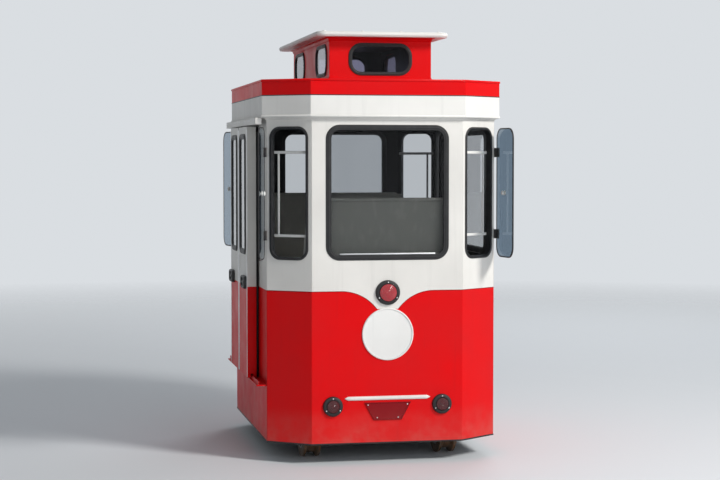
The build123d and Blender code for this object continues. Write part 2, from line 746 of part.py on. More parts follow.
# Underframe: two sole bars and four cross bars, welded into one
with BuildPart() as underframe:
    for side in (-1, 1):
        block(side * SOLE_PLACE, 0, SOLE_FOOT, SOLE_WIDTH, 2 * SOLE_HALF, SOLE_HEIGHT)
    for name, end in ENDS:
        block(0, end * CROSS_PLACE, SOLE_FOOT, 2 * SOLE_PLACE, CROSS_WIDTH, SOLE_HEIGHT)
        block(0, end * HEADSTOCK_PLACE, SOLE_FOOT, 2 * SOLE_PLACE, CROSS_WIDTH, SOLE_HEIGHT)
save(underframe, "underframe")

with BuildPart() as jack_pads:
    for name, side, end in CORNERS:
        block(side * SOLE_PLACE, end * PAD_PLACE, SOLE_FOOT - PAD_THICK, PAD_SIZE, PAD_SIZE, PAD_THICK)
save(jack_pads, "jack_pads")

# Tow eyes: bent plates that hang from the headstocks, each with an upright bore in its foot
with BuildPart() as tow_eyes:
    for name, end in ENDS:
        web_y = HEADSTOCK_PLACE - TOW_THICK / 2
        with BuildSketch(Plane.YZ.offset(-TOW_WIDTH / 2)) as bend:
            Polygon(
                *[(end * y, z) for y, z in (
                    (web_y, SOLE_FOOT),
                    (web_y, TOW_FOOT),
                    (web_y + TOW_LENGTH, TOW_FOOT),
                    (web_y + TOW_LENGTH, TOW_FOOT + TOW_THICK),
                    (web_y + TOW_THICK, TOW_FOOT + TOW_THICK),
                    (web_y + TOW_THICK, SOLE_FOOT),
                )]
            )
        extrude(amount=TOW_WIDTH)
        bore_y = web_y + TOW_LENGTH - TOW_WIDTH / 2
        with Locations((0, end * bore_y, TOW_FOOT + TOW_THICK)):
            Hole(TOW_BORE, depth=TOW_THICK)
        foot_corners = tow_eyes.edges().filter_by(Axis.Z).group_by(Axis.Y)[0 if end < 0 else -1]
        fillet(foot_corners, TOW_ROUND)
save(tow_eyes, "tow_eyes")

# Axle boxes under the sole bars, flared up to their seats
with BuildPart() as axle_boxes:
    for name, side, end in CORNERS:
        axle_y = end * WHEELBASE / 2
        with BuildSketch(Plane.YZ.offset(side * SOLE_PLACE - BOX_LENGTH / 2)):
            Polygon(
                (axle_y - BOX_WIDTH / 2, AXLE_HEIGHT - BOX_WIDTH / 2 + BOX_CORNER),
                (axle_y - BOX_WIDTH / 2 + BOX_CORNER, AXLE_HEIGHT - BOX_WIDTH / 2),
                (axle_y + BOX_WIDTH / 2 - BOX_CORNER, AXLE_HEIGHT - BOX_WIDTH / 2),
                (axle_y + BOX_WIDTH / 2, AXLE_HEIGHT - BOX_WIDTH / 2 + BOX_CORNER),
                (axle_y + BOX_WIDTH / 2, AXLE_HEIGHT),
                (axle_y + BOX_WIDTH, SOLE_FOOT),
                (axle_y - BOX_WIDTH, SOLE_FOOT),
                (axle_y - BOX_WIDTH / 2, AXLE_HEIGHT),
            )
            with Locations((axle_y, AXLE_HEIGHT)):
                Circle(JOURNAL_RADIUS + JOURNAL_CLEARANCE, mode=Mode.SUBTRACT)
        extrude(amount=BOX_LENGTH)
save(axle_boxes, "axle_boxes")

# Wheelsets: one turned axle with two dished wheel centres, and tyres with two flanges each
WHEEL_PLACE = GAUGE / 2
TYRE_HALF = TYRE_WIDTH / 2
JOURNAL_END = SOLE_PLACE + BOX_LENGTH / 2

for name, end in ENDS:
    axle_y = end * WHEELBASE / 2
    spin = Axis((0, axle_y, AXLE_HEIGHT), (1, 0, 0))
    turned = Plane(origin=(0, axle_y, AXLE_HEIGHT), x_dir=(1, 0, 0), z_dir=(0, -1, 0))
    # half of the axle: distance from the middle, radius
    axle_outline = (
        (0, 0),
        (0, AXLE_RADIUS),
        (WHEEL_PLACE - HUB_HALF, AXLE_RADIUS),
        (WHEEL_PLACE - HUB_HALF, HUB_RADIUS),
        (WHEEL_PLACE - WEB_HALF, TYRE_SEAT - RIM_STEP),
        (WHEEL_PLACE - TYRE_HALF, TYRE_SEAT),
        (WHEEL_PLACE + TYRE_HALF, TYRE_SEAT),
        (WHEEL_PLACE + WEB_HALF, TYRE_SEAT - RIM_STEP),
        (WHEEL_PLACE + HUB_HALF, HUB_RADIUS),
        (WHEEL_PLACE + HUB_HALF, JOURNAL_RADIUS),
        (JOURNAL_END, JOURNAL_RADIUS),
        (JOURNAL_END, 0),
    )
    with BuildPart() as axle:
        with BuildSketch(turned):
            Polygon(*axle_outline)
            mirror(about=Plane.YZ)
        revolve(axis=spin)
    save(axle, f"axle_{name}")

    # section of a tyre: distance from its middle, radius
    tyre_outline = (
        (-TYRE_HALF, TYRE_SEAT),
        (TYRE_HALF, TYRE_SEAT),
        (TYRE_HALF, FLANGE_RADIUS),
        (TYRE_HALF - FLANGE_WIDTH, FLANGE_RADIUS),
        (TREAD_HALF, TREAD_RADIUS),
        (-TREAD_HALF, TREAD_RADIUS),
        (FLANGE_WIDTH - TYRE_HALF, FLANGE_RADIUS),
        (-TYRE_HALF, FLANGE_RADIUS),
    )
    with BuildPart() as tyres:
        with BuildSketch(turned):
            with Locations((-WHEEL_PLACE, 0), (WHEEL_PLACE, 0)):
                Polygon(*tyre_outline)
        revolve(axis=spin)
    save(tyres, f"tyres_{name}")

# Drive motor: one plain block hung under the rear cross bar
with BuildPart() as motor:
    block(0, CROSS_PLACE, SOLE_FOOT - MOTOR_HEIGHT, MOTOR_WIDTH, MOTOR_LENGTH, MOTOR_HEIGHT)
save(motor, "motor")

# Current collector: a plate under the front cross bar, an arm and a contact shoe
with BuildPart() as collector:
    plate_foot = SOLE_FOOT - COLLECTOR_PLATE
    arm_foot = CONTACT_FOOT + CONTACT_HEIGHT
    block(0, -CROSS_PLACE, plate_foot, COLLECTOR_WIDTH, CROSS_WIDTH, COLLECTOR_PLATE)
    block(0, -CROSS_PLACE, arm_foot, ARM_WIDTH, ARM_DEPTH, plate_foot - arm_foot)
    block(0, -CROSS_PLACE, CONTACT_FOOT, CONTACT_WIDTH, CONTACT_LENGTH, CONTACT_HEIGHT)
save(collector, "collector")
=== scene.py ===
"""Dressing of an elevated rail cabin: finishes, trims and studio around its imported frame."""

import json
import logging
import math
from collections.abc import Sequence
from dataclasses import dataclass
from enum import Enum

import bmesh
import bpy
from mathutils import Matrix, Vector


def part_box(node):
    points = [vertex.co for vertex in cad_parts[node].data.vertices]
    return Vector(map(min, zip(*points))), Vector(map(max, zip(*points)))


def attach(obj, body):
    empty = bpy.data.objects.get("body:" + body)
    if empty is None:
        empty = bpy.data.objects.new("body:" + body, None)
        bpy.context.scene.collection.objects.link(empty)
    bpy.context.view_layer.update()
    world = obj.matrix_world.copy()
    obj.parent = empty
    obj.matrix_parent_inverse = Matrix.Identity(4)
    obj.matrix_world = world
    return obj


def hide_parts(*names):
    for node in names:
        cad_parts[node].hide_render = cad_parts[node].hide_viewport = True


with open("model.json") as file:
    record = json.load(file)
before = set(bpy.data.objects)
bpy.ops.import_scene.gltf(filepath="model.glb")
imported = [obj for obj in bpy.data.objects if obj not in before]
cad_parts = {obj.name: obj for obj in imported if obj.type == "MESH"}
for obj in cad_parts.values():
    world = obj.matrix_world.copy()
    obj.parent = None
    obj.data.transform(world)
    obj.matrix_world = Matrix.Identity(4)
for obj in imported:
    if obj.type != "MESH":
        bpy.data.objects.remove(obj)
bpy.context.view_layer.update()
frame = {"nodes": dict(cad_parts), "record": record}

LOG = logging.getLogger("cabin")
Colour = tuple[float, float, float]
# Distance outwards, or radius, and height of each point of an outline.
Section = Sequence[tuple[float, float]]
# Points in a frame's XY plane, each with its outward direction.
Path = list[tuple[tuple[float, float], tuple[float, float]]]
UP = Vector((0.0, 0.0, 1.0))
DOWN = Vector((0.0, 0.0, -1.0))
LEFT = Vector((-1.0, 0.0, 0.0))
LEVEL = Matrix.Identity(4)
# Upright part of a normal from which its face counts as level.
FLAT = 0.9
# Angle between two faces from which their edge is sharp.
SHARP = math.radians(34.0)
# How far a form reaches into the surface under it, and a thin one does.
SINK = 0.001
SKIM = 0.0005
# Front and rear, left and right, the cabin's four corners, and a rectangle's in turn.
ENDS = (-1, 1)
SIDES = (-1, 1)
CORNERS = [(side, end) for side in SIDES for end in ENDS]
QUARTERS = ((1, 1), (-1, 1), (-1, -1), (1, -1))


class Body(Enum):
    """Bodies of the cabin that pieces ride on."""

    CABIN = "cabin"
    DOOR_FRONT = "door_front"
    DOOR_REAR = "door_rear"
    WHEELS_FRONT = "wheelset_front"
    WHEELS_REAR = "wheelset_rear"


class Slot(Enum):
    """Material slots of the record."""

    RED = "body_red"
    CREAM = "body_cream"
    ROOF = "roof_white"
    PLATE = "plate_red"
    DISC = "disc_white"
    KNOB = "knob_white"
    RUBBER = "rubber_black"
    GLASS = "glass_clear"
    SMOKE = "glass_smoke"
    DARK_GLASS = "glass_dark"
    LENS = "lens_red"
    DARK_LENS = "lens_dark"
    BRIGHT = "bright_metal"
    CHASSIS = "frame_black"
    MOTOR = "motor_grey"
    STEEL = "wheel_steel"
    TYRE = "tyre_poly"
    SEAT = "seat_grey"
    FLOOR = "floor_grey"


class Grain(Enum):
    """Ways that a pattern is drawn out, as factors of its scale along X, Y and Z."""

    EVEN = (1.0, 1.0, 1.0)
    STREAKS = (1.0, 1.0, 0.045)
    SCUFFS = (1.0, 1.0, 0.4)
    TREAD = (3.0, 1.0, 1.0)
    BRUSHED = (220.0, 1.5, 220.0)


class NodeGraph:
    """A material's nodes, with short calls for what the finishes share.

    Attributes:
        MIX_INPUTS: Places of the two colours among the inputs of a mix node.
        MIX_OUTPUT: Place of the blended colour among its outputs.
        EDGE_SAMPLES: Rays that look for an edge to soften.
        INWARD: Sum of place times normal below which a face looks into the cabin.
    """

    MIX_INPUTS = (6, 7)
    MIX_OUTPUT = 2
    EDGE_SAMPLES = 4
    INWARD = -0.004

    def __init__(self, name: str) -> None:
        """Make a new material with a shader and the object's own coordinates.

        Args:
            name: Name of the material.
        """
        self.material = bpy.data.materials.new(name)
        self.material.use_nodes = True
        self.tree = self.material.node_tree
        self.shader = self.tree.nodes["Principled BSDF"]
        self.coordinates = self.add("ShaderNodeTexCoord")
        self.place = self.coordinates.outputs["Object"]
        self.x, self.y, self.z = self.add("ShaderNodeSeparateXYZ", self.place).outputs

    def add(self, kind: str, *sources: object) -> bpy.types.Node:
        """Add a node and feed its first inputs.

        Args:
            kind: The node's type name.
            *sources: Sockets to link, or values to set, in the order of the inputs.

        Returns:
            The new node.
        """
        node = self.tree.nodes.new(kind)
        for target, source in zip(node.inputs, sources):
            self.feed(target, source)
        return node

    def feed(self, target: bpy.types.NodeSocket, source: object) -> None:
        """Link a socket to an input, or set the input's own value.

        Args:
            target: The input.
            source: An output socket, a number or a tuple.
        """
        if isinstance(source, bpy.types.NodeSocket):
            self.tree.links.new(source, target)
        else:
            target.default_value = source

    def set(self, **values: object) -> None:
        """Link or set inputs of the shader, named with underscores for blanks."""
        for name, source in values.items():
            self.feed(self.shader.inputs[name.replace("_", " ")], source)

    def noise(self, scale: float, detail: float = 3.0, grain: Grain = Grain.EVEN) -> object:
        """Give cloudy noise from 0 to 1.

        Args:
            scale: Clouds in a metre.
            detail: Octaves.
            grain: Way that the clouds are drawn out.

        Returns:
            The socket of the noise.
        """
        mapped = self.add("ShaderNodeVectorMath", self.place, grain.value)
        mapped.operation = "MULTIPLY"
        node = self.add("ShaderNodeTexNoise")
        self.feed(node.inputs["Vector"], mapped.outputs[0])
        node.inputs["Scale"].default_value = scale
        node.inputs["Detail"].default_value = detail
        return node.outputs[0]

    def fade(
        self, source: object, start: float, stop: float, low: float = 0.0, high: float = 1.0
    ) -> object:
        """Map a value from start and stop to low and high, and hold it there.

        Args:
            source: Socket of the value.
            start: Value that gives low.
            stop: Value that gives high.
            low: Result at start.
            high: Result at stop.

        Returns:
            The socket of the mapped value.
        """
        node = self.add("ShaderNodeMapRange", source, start, stop, low, high)
        node.clamp = True
        return node.outputs[0]

    def patches(
        self,
        scale: float,
        edge: tuple[float, float],
        reach: tuple[float, float] = (0.0, 1.0),
        detail: float = 3.0,
        grain: Grain = Grain.EVEN,
    ) -> object:
        """Give patches with soft edges, cut out of cloudy noise.

        Args:
            scale: Clouds in a metre.
            edge: Noise where a patch starts and where it is full.
            reach: Results outside a patch and in its middle.
            detail: Octaves.
            grain: Way that the patches are drawn out.

        Returns:
            The socket of the patches.
        """
        return self.fade(self.noise(scale, detail, grain), *edge, *reach)

    def calc(self, operation: str, first: object, second: object = 0.0) -> object:
        """Give the result of one sum on two values.

        Args:
            operation: Name of the sum, such as MULTIPLY.
            first: Socket or number.
            second: Socket or number.

        Returns:
            The socket of the result.
        """
        node = self.add("ShaderNodeMath", first, second)
        node.operation = operation
        return node.outputs[0]

    def mix(self, factor: object, first: object, second: object) -> object:
        """Blend two colours.

        Args:
            factor: 0 gives the first colour and 1 the second.
            first: Colour or socket.
            second: Colour or socket.

        Returns:
            The socket of the blended colour.
        """
        node = self.add("ShaderNodeMix")
        node.data_type = "RGBA"
        self.feed(node.inputs[0], factor)
        for place, source in zip(self.MIX_INPUTS, (first, second)):
            self.feed(node.inputs[place], (*source, 1.0) if isinstance(source, tuple) else source)
        return node.outputs[self.MIX_OUTPUT]

    def relief(self, height: object, depth: float, under: object = None) -> object:
        """Bend the surface's normal by a height.

        Args:
            height: Socket of the height, from 0 to 1.
            depth: Metres between heights 0 and 1.
            under: Socket of the normal to start from, if not the surface's own.

        Returns:
            The socket of the normal.
        """
        node = self.add("ShaderNodeBump")
        node.inputs["Distance"].default_value = depth
        self.feed(node.inputs["Height"], height)
        if under is not None:
            self.feed(node.inputs["Normal"], under)
        return node.outputs[0]

    def round_edges(self, radius: float) -> object:
        """Give a normal that turns softly over sharp edges.

        Args:
            radius: Radius of the softened edge in metres.

        Returns:
            The socket of the normal.
        """
        node = self.add("ShaderNodeBevel", radius)
        node.samples = self.EDGE_SAMPLES
        return node.outputs[0]

    def inward(self) -> object:
        """Give 1 on upright faces that look into the cabin and 0 elsewhere; this masks the painted shade
        inside.

        Returns:
            The socket of the result.
        """
        facing = self.add("ShaderNodeVectorMath", self.place, self.coordinates.outputs["Normal"])
        facing.operation = "MULTIPLY"
        across, along, _ = self.add("ShaderNodeSeparateXYZ", facing.outputs[0]).outputs
        return self.calc("LESS_THAN", self.calc("ADD", across, along), self.INWARD)


def shade(colour: Colour, factor: float, lift: float = 0.0) -> Colour:
    """Give a colour with every part scaled and then lifted."""
    return tuple(factor * part + lift for part in colour)


@dataclass(frozen=True)
class Finish:
    """A finish, which its children paint.

    Attributes:
        name: Name of the material.
        colour: Colour of the clean finish.
    """

    name: str
    colour: Colour

    def material(self) -> bpy.types.Material:
        """Make the material.

        Returns:
            The painted material.
        """
        graph = NodeGraph(self.name)
        self.paint(graph)
        return graph.material

    def paint(self, graph: NodeGraph) -> None:
        """Lay down the finish, each child in its own way."""
        raise NotImplementedError


@dataclass(frozen=True)
class GlossPaint(Finish):
    """Gloss paint on a glass-fibre moulding, with rain streaks, grime near the rails, and near-black painted
    shade on the faces that look into the cabin.

    Attributes:
        grime: How much dirt lies on the lowest part, from 0 to 1.
        inside_shaded: Whether the faces that look into the cabin get the near-black painted shade.
        dirt: Colour of the dirt.
        shade_lining: Colour of that painted shade, which darkens the cabin's inside.
        clean_height: Height from which the paint stays clean.
        dirty_height: Height up to which the dirt is thickest.
    """

    grime: float = 0.34
    inside_shaded: bool = True
    dirt: Colour = (0.40, 0.21, 0.18)
    shade_lining: Colour = (0.024, 0.025, 0.027)
    clean_height: float = 0.36
    dirty_height: float = 0.12

    def paint(self, graph: NodeGraph) -> None:
        """Lay down the paint, with its streaks, grime, painted shade inside the cabin and slightly wavy
        skin.

        Args:
            graph: Nodes of the material.
        """
        worn = graph.patches(2.3, edge=(0.35, 0.68))
        colour = graph.mix(worn, self.colour, shade(self.colour, 0.90, 0.004))
        streaks = graph.patches(26.0, edge=(0.56, 0.74), reach=(0.0, 0.22), detail=4.0, grain=Grain.STREAKS)
        colour = graph.mix(streaks, colour, shade(self.colour, 0.72, 0.01))
        low = graph.fade(graph.z, self.clean_height, self.dirty_height)
        patchy = graph.patches(11.0, edge=(0.36, 0.70), reach=(0.1, self.grime), detail=6.0)
        colour = graph.mix(graph.calc("MULTIPLY", low, patchy), colour, self.dirt)
        rough = graph.patches(7.0, edge=(0.3, 0.7), reach=(0.36, 0.50), detail=5.0)
        # Faces that look into the cabin are painted near-black, as shade for the dark inside.
        if self.inside_shaded:
            colour = graph.mix(graph.inward(), colour, self.shade_lining)
        waves = graph.noise(38.0, detail=2.0)
        normal = graph.relief(waves, depth=0.00025, under=graph.round_edges(0.006))
        graph.set(Base_Color=colour, Roughness=rough, Normal=normal, Coat_Normal=normal)
        graph.set(Coat_Weight=0.06, Coat_Roughness=0.10, Specular_IOR_Level=0.11)


@dataclass(frozen=True)
class Rubber(Finish):
    """Moulded black rubber with a fine grain and a bloom of dust."""

    def paint(self, graph: NodeGraph) -> None:
        """Lay down the rubber, with its grain and dust.

        Args:
            graph: Nodes of the material.
        """
        bloom = graph.patches(14.0, edge=(0.45, 0.75), reach=(0.0, 0.5), detail=5.0)
        colour = graph.mix(bloom, self.colour, shade(self.colour, 1.0, 0.016))
        rough = graph.patches(30.0, edge=(0.3, 0.7), reach=(0.42, 0.62))
        graph.set(Base_Color=colour, Roughness=rough)
        grain = graph.noise(900.0, detail=2.0)
        graph.set(Normal=graph.relief(grain, depth=0.00012, under=graph.round_edges(0.0015)))


@dataclass(frozen=True)
class Glazing(Finish):
    """Window acrylic with faint smears, its colour what one face of a pane lets through.

    Attributes:
        sheen: Colour of what it mirrors when seen straight on.
    """

    sheen: Colour = (0.22, 0.22, 0.22)

    def paint(self, graph: NodeGraph) -> None:
        """Lay down the acrylic, with its smears.

        Args:
            graph: Nodes of the material.
        """
        graph.set(Base_Color=(*self.colour, 1.0), Transmission_Weight=1.0, IOR=1.49)
        graph.set(Specular_Tint=(*self.sheen, 1.0))
        graph.set(Roughness=graph.patches(5.0, edge=(0.45, 0.8), reach=(0.0, 0.02)))


@dataclass(frozen=True)
class Metal(Finish):
    """Bare or anodised metal with the marks of its making.

    Attributes:
        roughness: Roughness of its smoothest places.
        grain: Way that the marks run.
        rougher: What its roughest places have more.
    """

    roughness: float
    grain: Grain
    rougher: float = 0.2

    def paint(self, graph: NodeGraph) -> None:
        """Lay down the metal, with its marks and dull patches.

        Args:
            graph: Nodes of the material.
        """
        marks = graph.noise(1.0, detail=4.0, grain=self.grain)
        tarnish = graph.patches(6.0, edge=(0.42, 0.72), detail=5.0)
        graph.set(Base_Color=graph.mix(tarnish, self.colour, shade(self.colour, 0.72)), Metallic=1.0)
        graph.set(Roughness=graph.fade(marks, 0.3, 0.7, self.roughness, self.roughness + self.rougher))
        graph.set(Normal=graph.relief(marks, depth=0.00006, under=graph.round_edges(0.001)))


@dataclass(frozen=True)
class TurnedSteel(Finish):
    """Steel of the wheelsets, with turning rings, oil film and brown rust bloom.

    Attributes:
        axle_y: Distance of each axle from the middle of the cabin.
        axle_z: Height of the axles.
        rust: Colour of the rust.
        ring_rate: Radians of the rings' wave in a metre of radius.
    """

    axle_y: float
    axle_z: float
    rust: Colour = (0.15, 0.075, 0.04)
    ring_rate: float = 4200.0

    def paint(self, graph: NodeGraph) -> None:
        """Lay down the steel, with rings round each axle and rust in patches.

        Args:
            graph: Nodes of the material.
        """
        across = graph.calc("SUBTRACT", graph.calc("ABSOLUTE", graph.y), self.axle_y)
        above = graph.calc("SUBTRACT", graph.z, self.axle_z)
        squares = [graph.calc("MULTIPLY", part, part) for part in (across, above)]
        radius = graph.calc("SQRT", graph.calc("ADD", *squares))
        rings = graph.calc("SINE", graph.calc("MULTIPLY", radius, self.ring_rate))
        rust = graph.patches(18.0, edge=(0.52, 0.72), reach=(0.0, 0.8), detail=6.0)
        graph.set(Base_Color=graph.mix(rust, self.colour, self.rust))
        graph.set(Metallic=graph.fade(rust, 0.0, 0.6, low=1.0, high=0.1))
        graph.set(Roughness=graph.fade(rust, 0.0, 0.6, low=0.34, high=0.75))
        graph.set(Normal=graph.relief(rings, depth=0.00004, under=graph.round_edges(0.002)))


@dataclass(frozen=True)
class Enamel(Finish):
    """Hard-wearing paint on steel under the floor, with dust on top and chips down to rust.

    Attributes:
        dust: Colour of the dust.
        rust: Colour of the rust in the chips.
    """

    dust: Colour = (0.13, 0.115, 0.10)
    rust: Colour = (0.16, 0.065, 0.03)

    def paint(self, graph: NodeGraph) -> None:
        """Lay down the enamel, with its dust and chips.

        Args:
            graph: Nodes of the material.
        """
        dust = graph.patches(9.0, edge=(0.4, 0.75), reach=(0.0, 0.5), detail=6.0)
        colour = graph.mix(dust, self.colour, self.dust)
        chips = graph.patches(64.0, edge=(0.67, 0.70), detail=5.0)
        colour = graph.mix(chips, colour, self.rust)
        graph.set(Base_Color=colour, Roughness=graph.fade(dust, 0.0, 0.5, low=0.36, high=0.7))
        height = graph.calc("SUBTRACT", graph.noise(120.0), chips)
        graph.set(Normal=graph.relief(height, depth=0.0003, under=graph.round_edges(0.002)))


@dataclass(frozen=True)
class SeatShell(Finish):
    """Moulded plastic with leather-like grain and scuffs.

    Attributes:
        cells: Cells of the grain in a metre.
    """

    cells: float = 420.0

    def paint(self, graph: NodeGraph) -> None:
        """Lay down the plastic, with its grain and scuffs.

        Args:
            graph: Nodes of the material.
        """
        grain = graph.add("ShaderNodeTexVoronoi")
        graph.feed(grain.inputs["Vector"], graph.place)
        grain.inputs["Scale"].default_value = self.cells
        scuffs = graph.patches(20.0, edge=(0.52, 0.74), reach=(0.0, 0.6), detail=6.0, grain=Grain.SCUFFS)
        graph.set(Base_Color=graph.mix(scuffs, self.colour, shade(self.colour, 1.35)))
        graph.set(Roughness=graph.fade(scuffs, 0.0, 0.6, low=0.46, high=0.64))
        graph.set(Normal=graph.relief(grain.outputs[0], depth=0.00025, under=graph.round_edges(0.003)))


@dataclass(frozen=True)
class FloorCovering(Finish):
    """Grey rubber floor with fine ribs along the cabin and paler walked-on places.

    Attributes:
        pitch: Distance between two ribs.
        rise: Height of a rib.
    """

    pitch: float = 0.012
    rise: float = 0.0015

    def paint(self, graph: NodeGraph) -> None:
        """Lay down the covering, with its ribs and worn places.

        Args:
            graph: Nodes of the material.
        """
        ribs = graph.calc("SINE", graph.calc("MULTIPLY", graph.x, 2.0 * math.pi / self.pitch))
        walked = graph.patches(4.0, edge=(0.4, 0.7), reach=(0.0, 0.7), detail=6.0)
        graph.set(Base_Color=graph.mix(walked, self.colour, shade(self.colour, 1.8)))
        graph.set(Roughness=0.7)
        graph.set(Normal=graph.relief(graph.fade(ribs, -0.2, 0.4), depth=self.rise))


@dataclass(frozen=True)
class Urethane(Finish):
    """Dark amber tyre compound with a dusty, scuffed running band.

    Attributes:
        dust: Colour of the scuffed places.
    """

    dust: Colour = (0.16, 0.13, 0.105)

    def paint(self, graph: NodeGraph) -> None:
        """Lay down the compound, with its scuffs.

        Args:
            graph: Nodes of the material.
        """
        scuffs = graph.patches(34.0, edge=(0.4, 0.7), reach=(0.0, 0.8), detail=6.0, grain=Grain.TREAD)
        graph.set(Base_Color=graph.mix(scuffs, self.colour, self.dust))
        graph.set(Roughness=graph.fade(scuffs, 0.0, 0.8, low=0.3, high=0.66), Subsurface_Weight=0.08)
        grain = graph.noise(150.0, detail=4.0)
        graph.set(Normal=graph.relief(grain, depth=0.0003, under=graph.round_edges(0.003)))


@dataclass(frozen=True)
class LampLens(Finish):
    """Red lamp plastic with a glossy skin.

    Attributes:
        shine: Strength of the clear skin, from 0 to 1.
    """

    shine: float

    def paint(self, graph: NodeGraph) -> None:
        """Lay down the plastic, with a light haze under its skin.

        Args:
            graph: Nodes of the material.
        """
        haze = graph.patches(40.0, edge=(0.4, 0.7), reach=(0.0, 0.5), detail=5.0)
        graph.set(Base_Color=graph.mix(haze, self.colour, shade(self.colour, 0.7, 0.03)))
        graph.set(Roughness=graph.fade(haze, 0.0, 0.5, low=0.10, high=0.22), Transmission_Weight=0.25)
        graph.set(Coat_Weight=self.shine, Coat_Roughness=0.04)


class Shape:
    """A mesh in the making, to which forms are added in a face's own frame.

    Attributes:
        SCREW: Radius and height of a pan head's outline, in radii of the head.
        WASHER: The same of a washer, in radii of the bolt on it.
        HEXAGON: The same of a bolt's head.
        FLATS: Flats round a screw, a washer and a bolt.
        LEAST_CORNER: Smallest corner radius of a mound's loop.
    """

    SCREW: Section = ((1.0, -0.1), (1.0, 0.18), (0.86, 0.42), (0.5, 0.56), (0.42, 0.3), (0.0, 0.3))
    WASHER: Section = ((1.45, -0.1), (1.45, 0.22), (0.9, 0.22))
    HEXAGON: Section = ((1.0, 0.2), (1.0, 0.82), (0.86, 1.0), (0.0, 1.0))
    FLATS = (14, 20, 6)
    LEAST_CORNER = 0.003

    def __init__(self) -> None:
        """Start with no faces."""
        self.mesh = bmesh.new()

    def finish(self, name: str) -> bpy.types.Mesh:
        """Turn the forms into a finished mesh and let go of them.

        Args:
            name: Name of the mesh.

        Returns:
            The mesh.
        """
        mesh = bpy.data.meshes.new(name)
        self.mesh.to_mesh(mesh)
        self.mesh.free()
        return mesh

    def ring(self, place: Matrix, points: Sequence[Sequence[float]]) -> list[bmesh.types.BMVert]:
        """Add vertices at points of a frame and give them in that order."""
        return [self.mesh.verts.new(place @ Vector(point)) for point in points]

    def skin(self, rings: Sequence[Sequence[bmesh.types.BMVert]], closed: bool) -> None:
        """Join rings of vertices, one to the next, with faces.

        Args:
            rings: Rings of equal count, or of one vertex for a tip.
            closed: Whether the last ring joins the first.
        """
        pairs = list(zip(rings, rings[1:]))
        if closed:
            pairs.append((rings[-1], rings[0]))
        for first, second in pairs:
            for step in range(max(len(first), len(second))):
                corners = [first[turn % len(first)] for turn in (step, step + 1)]
                corners += [second[turn % len(second)] for turn in (step + 1, step)]
                self.mesh.faces.new(tuple(dict.fromkeys(corners)))

    def lathe(self, place: Matrix, outline: Section, steps: int = 32, closed: bool = False) -> None:
        """Turn an outline round the frame's Z.

        Args:
            place: Frame of the turned form.
            outline: Radius and height of each point.
            steps: Flats in the full turn.
            closed: Whether the outline ends where it starts.
        """
        rings = []
        for radius, height in outline:
            turns = range(steps if radius > 0.0 else 1)
            angles = [2.0 * math.pi * turn / steps for turn in turns]
            points = [(radius * math.cos(angle), radius * math.sin(angle), height) for angle in angles]
            rings.append(self.ring(place, points))
        self.skin(rings, closed)

    def sweep(self, place: Matrix, path: Path, section: Section, closed: bool = True) -> None:
        """Draw a section along a path that lies in the frame's XY plane.

        Args:
            place: Frame of the path.
            path: Points of the path, each with its outward direction.
            section: Distance outwards and height of each point of the section.
            closed: Whether the path ends where it starts.
        """
        rings = [
            self.ring(place, [(x + out_x * reach, y + out_y * reach, height) for reach, height in section])
            for (x, y), (out_x, out_y) in path
        ]
        self.skin(rings, closed)
        if not closed:
            self.mesh.faces.new(rings[0])
            self.mesh.faces.new(rings[-1])

    def mound(self, place: Matrix, size: tuple[float, float, float], profile: Section) -> None:
        """Stack round-cornered loops into a closed form.

        Args:
            place: Frame of the form, with the loops' middle at its origin.
            size: Width, height and corner radius of the widest loop.
            profile: Inset and height of each loop, from one closing face to the other.
        """
        width, height, radius = size
        rings = []
        for inset, level in profile:
            corner = max(radius - inset, self.LEAST_CORNER)
            loop = round_loop(width - 2 * inset, height - 2 * inset, corner)
            rings.append(self.ring(place, [(x, y, level) for (x, y), _ in loop]))
        self.skin(rings, False)
        for ring in (rings[0], rings[-1]):
            self.mesh.faces.new(ring)

    def block(self, place: Matrix, one: Sequence[float], other: Sequence[float], edge: float) -> None:
        """Add a block with rounded edges.

        Args:
            place: Frame of the block.
            one: Any corner in that frame.
            other: The corner opposite to it.
            edge: Size of the rounding.
        """
        start, stop = (Vector([pick(pair) for pair in zip(one, other)]) for pick in (min, max))
        size = stop - start
        matrix = place @ Matrix.Translation(start + size / 2) @ Matrix.Diagonal((*size, 1.0))
        made = bmesh.ops.create_cube(self.mesh, size=1.0, matrix=matrix)
        edges = dict.fromkeys(edge for vertex in made["verts"] for edge in vertex.link_edges)
        bmesh.ops.bevel(
            self.mesh, geom=list(edges), offset=edge, segments=2, profile=0.5, affect="EDGES"
        )

    def turned(self, place: Matrix, outline: Section, radius: float, flats: int) -> None:
        """Turn an outline that is given in parts of the form's radius."""
        self.lathe(place, [(radius * reach, radius * height) for reach, height in outline], flats)

    def screw(self, place: Matrix, radius: float) -> None:
        """Add a pan-headed screw with a socket."""
        self.turned(place, self.SCREW, radius, self.FLATS[0])

    def bolt(self, place: Matrix, radius: float) -> None:
        """Add a hexagon bolt, its radius measured over the head's corners, on its washer."""
        for outline, flats in zip((self.WASHER, self.HEXAGON), self.FLATS[1:]):
            self.turned(place, outline, radius, flats)


def on_face(origin: Sequence[float], out: Sequence[float]) -> Matrix:
    """Give a frame on a surface: X to the right seen from outside, Y up and Z out.

    Args:
        origin: A point on the surface.
        out: Direction out of the surface.

    Returns:
        The frame.
    """
    normal = Vector(out).normalized()
    up = UP if abs(normal.z) < FLAT else Vector((0.0, 1.0, 0.0))
    right = up.cross(normal).normalized()
    turn = Matrix((right, normal.cross(right), normal)).transposed().to_4x4()
    return Matrix.Translation(Vector(origin)) @ turn


def moved(place: Matrix, x: float, y: float, z: float = 0.0) -> Matrix:
    """Shift a frame along its own axes."""
    return place @ Matrix.Translation((x, y, z))


